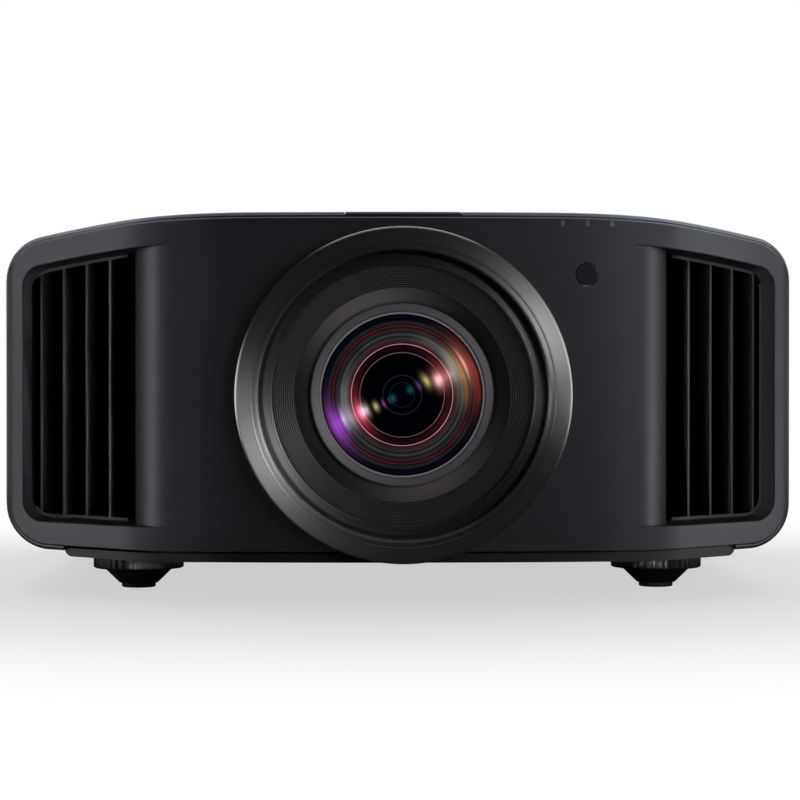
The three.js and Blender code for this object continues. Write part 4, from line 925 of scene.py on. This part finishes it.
def build_hood():
    """The lens hood: stepped light baffles first, then a smooth cone down to the glass."""
    mouth, knee, throat = HOOD_MOUTH, HOOD_KNEE, HOOD_THROAT
    front, rear = depths(HOOD)
    knee_depth, throat_depth = front + 11.7, depths(KEEPER)[1]
    flange = half_width(HOOD)
    profile = [(flange, front), (mouth + 0.3, front)]
    for i in range(RIBS):
        (r0, d0), (r1, d1) = (
            (mouth + (knee - mouth) * t, front + (knee_depth - front) * t)
            for t in (i / RIBS, (i + RIB_WIDTH) / RIBS)
        )
        profile += [(r0, d0), (r1, d0 + (d1 - d0) * 0.35), (r1 + 0.25, d1 + 0.28)]
    profile.append((knee, knee_depth))
    for t in steps(0, 1, 8)[1:]:
        bow = math.sin(math.pi * t) * 0.5
        r, d = knee + (throat - knee) * t, knee_depth + (throat_depth - knee_depth) * t
        profile.append((r + bow, d + bow))
    profile += [(throat, rear), (throat + HOOD_WALL, rear), (knee + HOOD_WALL, knee_depth + 2.0)]
    profile += [(mouth + HOOD_WALL, front + 2.0), (flange, front + 2.0)]
    return lathe("hood_turned", profile, LENS_CENTRE, 192)


def build_keeper():
    """The ring that holds the front glass, with a stepped inner edge."""
    front, rear = depths(KEEPER)
    outer, bore = KEEPER_R, KEEPER_BORE
    profile = [
        (bore, rear), (bore, front + 1.5), (bore + 0.5, front + 0.9), (bore + 1.0, front + 0.75),
        (bore + 1.2, front + 0.2), (outer - 0.8, front), (outer, front + 0.7), (outer, rear),
    ]
    return lathe("keeper_turned", soften(profile, 0.12), LENS_CENTRE, 176)


def build_rim():
    """The fine edge between the retaining ring and the glass, painted pale as a painted highlight of its
    chamfer.
    """
    inner, outer = KEEPER_BORE - 0.8, KEEPER_BORE + 0.1
    front = depths(KEEPER)[0] + 0.55
    rear = front + 1.6
    profile = [(inner - 0.2, rear), (inner, front), (outer, front), (outer, rear)]
    return lathe("keeper_rim_turned", soften(profile, 0.12), LENS_CENTRE, 176)


def build_glass():
    """The front element: a deep crown of glass with an eased edge."""
    outer = half_width(GLASS)
    front, rear = depths(GLASS)
    shoulder, sag = outer - 6.0, 7.0
    sphere = (shoulder**2 + sag**2) / (2 * sag)
    profile = []
    for r in steps(0, shoulder, 24):
        profile.append((max(r, 0.001), front + sphere - math.sqrt(sphere**2 - r**2)))
    profile += [(outer - 0.4, front + sag), (outer, front + sag + 0.4), (outer, rear), (0.001, rear)]
    return lathe("front_glass", profile, LENS_CENTRE, 128, closed=False)


# ---------------------------------------------------------------- the feet

FEET = ("front_left", "front_right", "rear_left", "rear_right")
FLUTES, FLUTE_DEEP = 40, 0.020
KNOB_RIM_LOW, KNOB_RIM_HIGH, KNOB_TOP = 12.6, 20.0, 24.7


def foot_box(name):
    """A foot piece's centre on the ground, its radius, and its lowest and highest level."""
    low, high = box_mm(name)
    return ((low.x + high.x) / 2, (low.y + high.y) / 2, 0), (high.x - low.x) / 2, low.z, high.z


def flute(z, angle):
    """Finger flutes round the rim of a knob."""
    if not KNOB_RIM_LOW + 0.2 < z < KNOB_RIM_HIGH + 0.6:
        return 1.0
    return 1.0 - FLUTE_DEEP * (0.5 - 0.5 * math.cos(FLUTES * angle)) ** 2


def build_knob(place):
    """A foot's knob: fluted rim for the fingers, cone below, stud above."""
    centre, radius, low, high = foot_box(f"foot_knob_{place}")
    under, over = KNOB_RIM_LOW, KNOB_RIM_HIGH
    profile = [
        (3.3, low + 5.0), (3.3, low), (12.4, low), (13.0, low + 0.6), (21.8, under - 0.6), (22.4, under),
        (radius - 1.2, under), (radius - 0.25, under + 0.5), (radius, under + 1.2),
        (radius, over - 0.9), (radius - 0.3, over),
        (26.4, KNOB_TOP - 0.5), (25.4, KNOB_TOP), (4.0, KNOB_TOP), (4.0, high), (0.001, high),
    ]
    return lathe(f"knob_{place}", profile, centre, FLUTES * 6, axis="Z", closed=False, swell=flute)


def build_pad(place):
    """A foot's rubber pad, its edge eased and its sole grooved."""
    centre, radius, _, high = foot_box(f"foot_pad_{place}")
    profile = [
        (0.001, 0.0), (3.0, 0.0), (3.2, 0.35), (4.4, 0.35), (4.6, 0.0),
        (radius - 1.0, 0.0), (radius - 0.3, 0.25), (radius, 0.9), (radius, 2.1), (radius - 0.4, 2.6),
        (3.0, 2.6), (3.0, high), (0.001, high),
    ]
    return lathe(f"pad_{place}", profile, centre, 72, axis="Z", closed=False)


# ---------------------------------------------------------------- special materials


def bell(paint, value, middle, width):
    """1 at middle, falling off smoothly over width."""
    away = paint.math("DIVIDE", paint.math("SUBTRACT", value, middle), width)
    return paint.math("EXPONENT", paint.math("MULTIPLY", paint.math("MULTIPLY", away, away), -1.0))


def heading(paint, across, up, degrees):
    """1 where the direction (across, up) lies at the given angle, 0 at right angles to it."""
    turn = math.radians(degrees)
    level = paint.math("MULTIPLY", across, math.cos(turn))
    return paint.math("ADD", level, paint.math("MULTIPLY", up, math.sin(turn)))


# How deep in mm the louvre paint darkens behind the front edges: painted shade.
VANE_SHADE_DEPTH = 10.0


def vane_paint(name, pale, dark):
    """Matte louvre paint, painted paler at the front edges and darker further in: painted shade that deepens
    into the vent.
    """
    paint = Paint(name)
    place = paint.add("ShaderNodeSeparateXYZ", Vector=paint.coords).outputs
    near, far = VENT[0].x, VENT[1].x
    slope = (face_y(far) - face_y(near)) / (far - near)
    out = paint.math("SUBTRACT", paint.math("ABSOLUTE", place["X"]), near * MM)
    line = paint.math("ADD", paint.math("MULTIPLY", out, slope), VENT[0].y * MM)
    depth = paint.math("SUBTRACT", place["Y"], line)
    grain = paint.noise(1100, 2.0, 0.6)
    # Painted shade: the colour falls from pale at the front edge to dark at that depth.
    share = paint.math("POWER", paint.span(depth, 1.0, 0.0, 0.0, VANE_SHADE_DEPTH * MM), 1.5)
    return paint.finish(
        Base_Color=paint.mix(share, dark, pale),
        Roughness=paint.vary(grain, 0.44, 0.54),
        Specular_IOR_Level=0.2,
        Normal=paint.bump(grain, 0.3, 0.00002),
    )


def ribbed_paint(name, dark, pale):
    """Black anodised baffles, each crest painted paler as a painted highlight and each groove darker as
    painted shade.
    """
    paint = Paint(name)
    inward = paint.math("SUBTRACT", HOOD_MOUTH * MM, paint.polar()[0])
    count = paint.math("MULTIPLY", inward, RIBS / ((HOOD_MOUTH - HOOD_KNEE) * MM))
    wave = paint.math("SINE", paint.math("MULTIPLY", count, 2 * math.pi))
    grain = paint.noise(1500, 3.0)
    crest_highlight = paint.math("MULTIPLY", paint.span(wave, 0.0, 1.0, -0.6, 1.0), paint.vary(grain, 0.85, 1.1))
    return paint.finish(
        Base_Color=paint.mix(crest_highlight, dark, pale),
        Metallic=0.4,
        Roughness=paint.vary(grain, 0.46, 0.54),
        Anisotropic=0.8,
        Anisotropic_Rotation=0.25,
        Tangent=paint.turned(),
    )


def sheen_cone(name, degrees, dark, pale):
    """Satin black paint inside a cone, painted paler along one diameter: a painted sheen."""
    paint = Paint(name)
    radius, away = paint.polar()
    across, up = (paint.math("DIVIDE", away[axis], radius) for axis in "XZ")
    painted_sheen = paint.math("POWER", paint.math("ABSOLUTE", heading(paint, across, up, degrees)), 4.0)
    grain = paint.noise(900, 3.0)
    share = paint.math("MULTIPLY", painted_sheen, paint.vary(grain, 0.85, 1.1))
    return paint.finish(
        Base_Color=paint.mix(share, dark, pale),
        Roughness=paint.vary(grain, 0.46, 0.54),
        Specular_IOR_Level=0.25,
        Normal=paint.bump(grain, 0.3, 0.00001),
    )


# Coated glass with painted reflections and highlights of the inner elements, each a ring, or part of one:
# radius and width in mm, direction in degrees and how tightly it keeps to it (0 for a whole ring), and its
# colour.
PAINTED_REFLECTIONS = (
    (47.2, 1.0, 0, 0, (0.012, 0.008, 0.034)),
    (44.0, 1.2, 0, 0, (0.050, 0.055, 0.056)),
    (41.9, 0.35, 0, 0, (0.34, 0.020, 0.030)),
    (39.5, 1.5, 0, 0, (0.075, 0.058, 0.060)),
    (36.7, 0.8, 0, 0, (0.110, 0.135, 0.130)),
    (34.0, 1.3, 0, 0, (0.090, 0.082, 0.074)),
    (32.1, 0.7, 0, 0, (0.150, 0.018, 0.036)),
    (30.8, 0.22, 0, 0, (0.85, 0.62, 0.62)),
    (28.6, 1.9, 0, 0, (0.034, 0.005, 0.010)),
    (25.6, 0.20, 0, 0, (0.42, 0.30, 0.25)),
    (11.8, 0.25, 0, 0, (0.060, 0.045, 0.080)),
    (7.5, 0.20, 0, 0, (0.030, 0.040, 0.050)),
    (28.6, 2.4, 200, 5, (0.26, 0.030, 0.060)),
    (28.6, 2.4, 330, 4, (0.060, 0.012, 0.014)),
    (35.0, 2.6, 185, 9, (0.22, 0.22, 0.23)),
    (35.4, 2.6, 32, 7, (0.36, 0.31, 0.29)),
    (42.5, 3.2, 206, 34, (0.46, 0.14, 0.80)),
    (46.0, 2.2, 204, 14, (0.34, 0.10, 0.34)),
    (38.4, 1.2, 203, 60, (0.62, 0.42, 0.62)),
    (27.6, 2.6, 203, 26, (0.70, 0.12, 0.14)),
    (27.0, 1.9, 203, 110, (0.90, 0.42, 0.64)),
    (24.9, 2.4, 202, 90, (0.55, 0.66, 0.74)),
    (34.0, 4.2, 203, 60, (0.44, 0.38, 0.46)),
    (23.0, 1.4, 204, 90, (0.50, 0.36, 0.34)),
    (17.3, 1.5, 204, 90, (0.85, 0.78, 0.34)),
    (12.5, 0.7, 206, 60, (0.60, 0.16, 0.62)),
    (8.6, 0.6, 203, 40, (0.16, 0.08, 0.32)),
    (6.0, 1.6, 200, 16, (0.02, 0.20, 0.20)),
    (46.6, 1.9, 18, 8, (0.48, 0.06, 0.035)),
    (42.0, 0.9, 26, 46, (0.90, 0.56, 0.55)),
    (39.0, 1.9, 18, 14, (0.58, 0.34, 0.12)),
    (43.5, 2.0, 24, 18, (0.36, 0.15, 0.09)),
    (27.8, 2.3, 28, 14, (0.40, 0.06, 0.07)),
    (23.6, 3.0, 23, 34, (0.86, 0.24, 0.22)),
    (23.8, 2.8, 22, 70, (0.60, 0.75, 0.78)),
    (31.5, 3.4, 23, 60, (0.50, 0.40, 0.36)),
    (17.0, 2.0, 30, 36, (0.72, 0.66, 0.28)),
    (11.4, 1.1, 28, 36, (0.26, 0.08, 0.36)),
    (5.5, 1.7, 32, 14, (0.02, 0.17, 0.18)),
)


def coated_glass(name):
    """Dark multi-coated glass with painted reflections and highlights in rings and crescents; the brightest
    glow a little.
    """
    paint = Paint(name)
    radius, away = paint.polar()
    across, up = (paint.math("DIVIDE", away[axis], radius) for axis in "XZ")
    drift = paint.vary(paint.noise(70, 3.0), 0.75, 1.2)
    reflections = (0.0, 0.0, 0.0)
    for ring, width, degrees, tight, colour in PAINTED_REFLECTIONS:
        amount = bell(paint, radius, ring * MM, width * MM)
        if tight:
            along = paint.math("MAXIMUM", heading(paint, across, up, degrees), 0.0)
            amount = paint.math("MULTIPLY", amount, paint.math("POWER", along, float(tight)))
        reflection = paint.vector("SCALE", colour, Scale=paint.math("MULTIPLY", amount, drift))
        reflections = paint.vector("ADD", reflections, i1=reflection)
    return paint.finish(
        Base_Color=paint.vector("ADD", reflections, i1=(0.001, 0.002, 0.005)),
        Roughness=paint.span(paint.noise(24), 0.16, 0.20),
        Specular_IOR_Level=0.03,
        # The brightest painted reflections glow, though the glass is no lamp.
        Emission_Color=paint.vector("MULTIPLY", reflections, i1=reflections),
        Emission_Strength=0.45,
    )


# After the name: colour, roughness, grain per metre, its depth in metres, mottle, specular, coat.
MATTE = plastic("casing_black", grey(0.009, 0.22), 0.42, 1100, 0.00003)
SATIN = plastic("fascia_black", (0.028, 0.0275, 0.035, 1), 0.44, 1500, 0.00001, 0.08, 0.33)
LID = plastic("cover_black", grey(0.016, 0.16), 0.44, 1300, 0.00002, 0.08)
BAND = plastic("strip_black", grey(0.024, 0.12), 0.36, 1500, 0.00001)
UNDER = plastic("tray_black", grey(0.008), 0.55)
# The face's black painted about three times paler: painted light on the vents' outer walls.
SLEEVE_LIT = plastic("sleeve_painted_light", grey(0.09, 0.1), 0.5, 1500, 0.00001, 0.08, 0.3)
# A paler copy of the black plastic, for the painted highlight along the top edges.
EDGE_HIGHLIGHT = plastic("edge_painted_highlight", (0.20, 0.235, 0.27, 1), 0.36, 1500, 0.00001, 0.08)
# Near-black painted shade for the louvres' frames and the screens behind them.
SHADOW = plastic("louvre_painted_shade", grey(0.0015), 0.85, 900, 0.00002, 0.1, 0.02)
KEYS = plastic("key_black", grey(0.020, 0.05), 0.42, 1200, 0.00002)
SMOKED = plastic("ir_window_smoked", (0.028, 0.027, 0.034, 1), 0.14, 500, 0.000002, 0.05, 0.5, 0.8)
PALE_GUIDE = plastic("light_guide_grey", (0.13, 0.14, 0.16, 1), 0.22, 700, 0.000004, 0.1, 0.6, 0.6)
FOOT = plastic("foot_black", grey(0.006), 0.36, 900, 0.00005)
# After the name: colour, roughness and, for turned metal, anisotropy.
GUNMETAL = turned_metal("gunmetal_turned", (0.60, 0.59, 0.60, 1), 0.44, 0.92)
BLUE_SATIN = turned_metal("satin_blue_metal", (0.42, 0.40, 0.41, 1), 0.44, 0.92)
GREY_RING = turned_metal("keeper_grey", (0.40, 0.375, 0.42, 1), 0.5, 0.6, metallic=0.75)
# The pale rim is a painted highlight.
RIM_HIGHLIGHT = turned_metal("rim_painted_highlight", (0.52, 0.56, 0.53, 1), 0.45, 0.2, metallic=0.0)
DARK_BARREL = turned_metal("barrel_anodised", (0.030, 0.030, 0.032, 1), 0.36, 0.4)
ZINC = cast_metal("zinc_plated", (0.46, 0.47, 0.48, 1), 0.36)
STEEL = cast_metal("steel_bright", (0.55, 0.55, 0.56, 1), 0.26)
BRASS = cast_metal("brass_plain", (0.62, 0.46, 0.20, 1), 0.30)
# The rest have finishes of their own.
# The louvre paint darkens with depth as painted shade.
VANE = vane_paint("louvre_black", grey(0.065, 0.05), grey(0.003, 0.05))
# The baffle paint carries a painted highlight on each crest and painted shade in each groove.
BAFFLE = ribbed_paint("baffle_black", (0.028, 0.027, 0.026, 1), (0.17, 0.163, 0.16, 1))
# The cone's paint holds a painted sheen along the diameter at 112 degrees.
CONE = sheen_cone("baffle_cone", 112, (0.020, 0.018, 0.017, 1), (0.22, 0.20, 0.19, 1))
# The glass holds painted reflections and highlights, and glows a little where they are brightest.
COATED = coated_glass("coated_glass")
RUBBER = rubber("foot_rubber", (0.010, 0.010, 0.010, 1))
BOARD = board_green("circuit_board")
FOAM = foam("filter_foam")

SLOT_LOOK = {
    "casing": MATTE, "strip": BAND, "dark": UNDER, "gunmetal": GUNMETAL, "satin_ring": BLUE_SATIN,
    "baffle": BAFFLE, "lens_glass": COATED, "window": SMOKED, "guide": PALE_GUIDE, "rubber": RUBBER,
    "foot": FOOT, "zinc": ZINC, "steel": STEEL, "barrel": DARK_BARREL, "brass": BRASS, "board": BOARD,
    "foam": FOAM, "key": KEYS,
}

# ---------------------------------------------------------------- assembly

BODIES = frame["record"]["behaviour"]["bodies"]
BODY_OF = {member: body for body, members in BODIES.items() for member in members}
SLOT_OF = {part["node"]: part["material_slot"] for part in frame["record"]["subparts"]}


def wear(obj, material, node):
    """Gives a piece its material, and the body of a CAD node."""
    obj.data.materials.clear()
    obj.data.materials.append(material)
    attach(obj, BODY_OF[node])
    return obj


def stand_for(obj, material, node):
    """A finished piece that replaces a CAD node."""
    wear(obj, material, node)
    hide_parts(node)
    return obj


def repaint(obj, material, chosen):
    """Gives another material to the faces that are chosen by their centre in mm and their normal."""
    obj.data.materials.append(material)
    for face in obj.data.polygons:
        if chosen(face.center / MM, face.normal):
            face.material_index = len(obj.data.materials) - 1


# In mm: where the sleeve's painted light starts behind the face, and how far down the painted highlight along
# the top edges reaches.
SLEEVE_FRONT, HIGHLIGHT_BAND = 3.0, 6.0


def on_rib_cone(spot, normal):
    """Inside the last rib the hood is smooth. Its own origin is on the lens axis."""
    return math.hypot(spot.x, spot.z) < HOOD_KNEE + 0.1


def on_highlight_edge(spot, normal):
    """The rounded front edges along the top are painted paler: a painted highlight."""
    ahead = spot.y < face_y(spot.x) + COVER_SETBACK + COVER_ROUND + 0.2
    rounded = normal.z > 0.08 and normal.y < -0.05
    return ahead and rounded and spot.z > HOUSING.top(spot.x)[0] - HIGHLIGHT_BAND


def on_lit_sleeve(spot, normal):
    """The outer wall of each vent, which faces the lens, is painted paler than the face: painted light on it.
    """
    faces_lens = normal.x * spot.x < 0 and abs(normal.x) > 0.3
    beside_vent = -8 < abs(spot.x) - VENT[1].x < 1
    return faces_lens and beside_vent and spot.y > face_y(spot.x) + SLEEVE_FRONT


def on_strip_end(spot, normal):
    """The end of the strip that shows from the front shares the cover's painted highlight."""
    return normal.y < -0.3


for node, obj in frame["nodes"].items():
    obj.data.materials.clear()
    obj.data.materials.append(SLOT_LOOK[SLOT_OF[node]])

fascia = stand_for(build_fascia(), SATIN, "front_fascia")
cover = stand_for(build_cover(), LID, "top_cover")
repaint(fascia, SLEEVE_LIT, on_lit_sleeve)
repaint(fascia, EDGE_HIGHLIGHT, on_highlight_edge)
repaint(cover, EDGE_HIGHLIGHT, on_highlight_edge)
for side in (-1, 1):
    wear(build_strip_seam(side), UNDER, "top_cover")
wear(build_rear_lip(), UNDER, "top_cover")
stand_for(build_trim_ring(), GUNMETAL, "lens_trim_ring")
stand_for(build_inner_ring(), BLUE_SATIN, "lens_inner_ring")
repaint(stand_for(build_hood(), BAFFLE, "lens_hood"), CONE, on_rib_cone)
stand_for(build_keeper(), GREY_RING, "lens_retaining_ring")
stand_for(build_glass(), COATED, "front_lens")
wear(build_rim(), RIM_HIGHLIGHT, "lens_retaining_ring")
for place in FEET:
    stand_for(build_knob(place), FOOT, f"foot_knob_{place}")
    stand_for(build_pad(place), RUBBER, f"foot_pad_{place}")

# Pieces whose CAD shape is right get rounded edges: edge width in mm, material, nodes.
ROUNDED = (
    (0.35, BAND, ("top_center_strip",)),
    (0.9, UNDER, ("bottom_tray",)),
    (0.5, MATTE, ("rear_panel",)),
    (0.6, VANE, ("louvre_left", "louvre_right")),
    (0.4, SMOKED, ("ir_window",)),
    (0.4, PALE_GUIDE, [f"light_guide_{i}" for i in (1, 2, 3)]),
    (0.4, MATTE, ("filter_cover",)),
    (0.3, ZINC, ("terminal_plate",)),
    (0.15, STEEL, ("hdmi_socket_1", "hdmi_socket_2")),
    (0.2, STEEL, ("lan_socket",)),
    (0.4, UNDER, ("ac_inlet",)),
    (0.5, KEYS, [f"button_{key}" for key in ("ok", "up", "down", "left", "right", "power", "menu", "back")]),
)
shapes = {}
for width, material, nodes in ROUNDED:
    for node in nodes:
        shapes[node] = stand_for(rounded_copy(node, width), material, node)


# In mm: how far above the lens's middle a fin reaches, and how wide the frame round the fins is.
FIN_REACH, FRAME_SIDE, FRAME_RIM = 30.0, 3.0, 6.0


def darken_frame(louvre):
    """A louvre's rim and tie bar get the near-black painted shade; only its fins, tall and upright, keep the
    louvre paint.
    """
    louvre.data.materials.append(SHADOW)
    for face in louvre.data.polygons:
        fin = abs(face.normal.z) < 0.3 and abs(face.normal.y) > 0.05
        tall = max(louvre.data.vertices[i].co.z for i in face.vertices) > (LENS_Z + FIN_REACH) * MM
        x, z = abs(face.center.x) / MM, face.center.z / MM
        clear = VENT[0].x + FRAME_SIDE < x < VENT[1].x - FRAME_SIDE
        inside = MOUTH.bottom(x)[0] + FRAME_RIM < z < MOUTH.top(x)[0] - FRAME_RIM
        face.material_index = 0 if fin and tall and clear and inside else 1


repaint(shapes["top_center_strip"], EDGE_HIGHLIGHT, on_strip_end)
for side, place in PLACE.items():
    darken_frame(shapes[f"louvre_{place}"])
    wear(build_screen(side), SHADOW, f"louvre_{place}")


def add_bar(bm, low, high, bevel):
    """A bar along Y whose outer end is bevelled on all four sides."""
    rings = []
    for y, cut in ((low.y, 0.0), (high.y - bevel, 0.0), (high.y, bevel)):
        left, right, under, over = low.x + cut, high.x - cut, low.z + cut, high.z - cut
        rings.append([(left, y, under), (right, y, under), (right, y, over), (left, y, over)])
    loft(bm, rings)


def build_tongue(socket):
    """The flat contact tongue inside a video socket."""
    low, high = box_mm(socket)
    size = high - low
    under, over, margin = low.z + size.z * 0.44, low.z + size.z * 0.62, size.x * 0.2
    bm = bmesh.new()
    near, far = Vector((low.x + margin, low.y + 1.0, under)), Vector((high.x - margin, high.y - 0.8, over))
    add_bar(bm, near, far, 0.2)
    return finish_mesh(socket + "_tongue", bm)


def build_contacts(socket, count=8, pitch=1.02):
    """The row of contact wires along the top of a network socket."""
    low, high = box_mm(socket)
    over = high.z - (high.z - low.z) * 0.24
    middle = (low.x + high.x) / 2
    bm = bmesh.new()
    for i in range(count):
        x = middle + (i - (count - 1) / 2) * pitch
        near, far = Vector((x - 0.22, low.y + 1.5, over - 0.35)), Vector((x + 0.22, high.y - 1.6, over))
        add_bar(bm, near, far, 0.12)
    return finish_mesh(socket + "_contacts", bm)


for socket in ("hdmi_socket_1", "hdmi_socket_2"):
    wear(build_tongue(socket), UNDER, socket)
wear(build_contacts("lan_socket"), BRASS, "lan_socket")

# ---------------------------------------------------------------- camera

# The viewpoint in metres, the lens in mm on a 36 mm sensor, the sideways shift, and the aim.
EYE = Vector((-0.039, FACE_Y * MM - 1.5, 0.134))
LENS_MM, SHIFT_X = 113.625, 0.018
YAW, PITCH = math.radians(1.08679), math.radians(0.45382)


def build_camera():
    """A long lens at lens height, a little left of the middle, turned slightly to the right."""
    data = bpy.data.cameras.new("camera")
    data.sensor_width, data.lens, data.shift_x = 36.0, LENS_MM, SHIFT_X
    data.clip_start, data.clip_end = 0.05, 60.0
    camera = link(bpy.data.objects.new("camera", data))
    aim = Vector((math.sin(YAW), math.cos(YAW), -math.tan(PITCH)))
    camera.location = EYE
    camera.rotation_euler = aim.to_track_quat("-Z", "Y").to_euler()
    bpy.context.scene.camera = camera


build_camera()

# ---------------------------------------------------------------- studio

# How bright the room is: all round for matte surfaces, and in reflections in front and behind.
ROOM_MATTE, ROOM_FRONT, ROOM_BACK = 0.05, 0.006, 1.0

# Where it brightens in reflections: metres behind the origin on the floor, and for the world the
# share of a direction that points to the back.
FLOOR_BACK, WORLD_BACK = (0.3, 1.6), (0.70, 0.98)

# For the camera the floor takes shadows out to the first distance and is white from the second on.
FLOOR_SEEN = (0.30, 0.75)
FLOOR_HALF = 9.0


def ray_kinds(wire):
    """Whether a ray comes from the camera, and whether it is a reflected or refracted one."""
    path = wire.add("ShaderNodeLightPath").outputs
    return path["Is Camera Ray"], wire.math("MAXIMUM", path["Is Glossy Ray"], path["Is Transmission Ray"])


def build_floor():
    """A pale floor that keeps the shadow near the object and turns white further out."""
    bm = bmesh.new()
    corners = ((-1, -1), (1, -1), (1, 1), (-1, 1))
    bm.faces.new([bm.verts.new((x * FLOOR_HALF, y * FLOOR_HALF, 0)) for x, y in corners])
    floor = finish_mesh("floor", bm)
    wire = Paint("floor_pale")
    length = wire.add("ShaderNodeVectorMath", {"operation": "LENGTH"}, i0=wire.coords)
    back = wire.add("ShaderNodeSeparateXYZ", i0=wire.coords).outputs["Y"]
    camera_ray, shiny = ray_kinds(wire)
    far = wire.span(length.outputs["Value"], 0.6, 1.0, *FLOOR_SEEN, "SMOOTHSTEP")
    white = wire.math("MAXIMUM", shiny, wire.math("MULTIPLY", camera_ray, far))
    mirrored = wire.span(back, ROOM_FRONT, ROOM_BACK, *FLOOR_BACK, "SMOOTHSTEP")
    matte = wire.add("ShaderNodeBsdfDiffuse", Color=(0.86, 0.86, 0.86, 1)).outputs[0]
    glow = wire.add("ShaderNodeEmission", Strength=wire.math("MAXIMUM", camera_ray, mirrored)).outputs[0]
    blend = wire.add("ShaderNodeMixShader", i0=white, i1=matte, i2=glow).outputs[0]
    wire.add("ShaderNodeOutputMaterial", Surface=blend)
    floor.data.materials.append(wire.material)


def build_world():
    """White for the camera, and white behind the object for metal and glass. Dim elsewhere."""
    world = bpy.data.worlds.new("studio")
    bpy.context.scene.world = world
    world.use_nodes = True
    wire = Wiring(world.node_tree)
    back = wire.add("ShaderNodeSeparateXYZ", i0=wire.place["Generated"]).outputs["Y"]
    camera_ray, shiny = ray_kinds(wire)
    mirrored = wire.span(back, ROOM_FRONT, ROOM_BACK, *WORLD_BACK, "SMOOTHSTEP")
    lit = wire.add("ShaderNodeMix", {"data_type": "FLOAT"}, i0=shiny, i2=ROOM_MATTE, i3=mirrored).outputs[0]
    level = wire.math("MAXIMUM", lit, camera_ray)
    room = wire.add("ShaderNodeBackground", Color=(1, 1, 1, 1), Strength=level).outputs[0]
    wire.add("ShaderNodeOutputWorld", Surface=room)


# The panels face this point, in metres.
CENTRE = Vector((0, -0.2, 0.12))
WHITE, SKY = (1, 1, 1), (0.86, 0.92, 1.0)


def lamp(name, place, aim, width, height, watts, colour=WHITE, spread=180):
    """An area lamp at a place in metres, facing another place, its beam spread in degrees."""
    data = bpy.data.lights.new(name, "AREA")
    data.shape, data.size, data.size_y = "RECTANGLE", width, height
    data.energy, data.color, data.spread = watts, colour, math.radians(spread)
    made = link(bpy.data.objects.new(name, data))
    made.location = place
    made.rotation_euler = (Vector(aim) - Vector(place)).to_track_quat("-Z", "Y").to_euler()
    made.visible_camera = False


def panel(name, azimuth, elevation, distance, width, height, glow, colour=WHITE):
    """A large lamp that faces the object; azimuth is counted from the front to the right."""
    turn, rise = math.radians(azimuth), math.radians(elevation)
    away = Vector((math.sin(turn) * math.cos(rise), -math.cos(turn) * math.cos(rise), math.sin(rise)))
    lamp(name, CENTRE + away * distance, CENTRE, width, height, glow * math.pi * width * height, colour)


build_floor()
build_world()
panel("key_right", 50, 15, 1.6, 1.3, 0.45, 2.1)
panel("key_near", 24, 10.5, 1.6, 0.25, 0.20, 8.8)
panel("fill_left", -72, 3.2, 1.6, 1.1, 0.26, 1.25)
panel("overhead", 180, 78, 1.4, 1.4, 0.9, 1.5, SKY)
panel("back_left", 148, 42, 1.9, 1.2, 0.7, 2.8)
panel("back_right", 212, 42, 1.9, 1.2, 0.7, 2.8)
for side, name in PLACE.items():
    # A strip beside the housing grazes the cheek of its vent.
    beside, cheek = (side * 0.42, -0.205, 0.13), (side * 0.160, -0.236, 0.13)
    lamp(f"strip_{name}", beside, cheek, 0.17, 0.26, 0.034, spread=40)
    # A narrow beam from the other side of the front reaches into the vent.
    across, louvre = (side * -0.33, -1.75, 0.16), (side * 0.212, -0.13, 0.13)
    lamp(f"vent_{name}", across, louvre, 0.05, 0.40, 0.07, spread=4)

bpy.context.scene.view_settings.view_transform = "Standard"

bpy.context.view_layer.update()
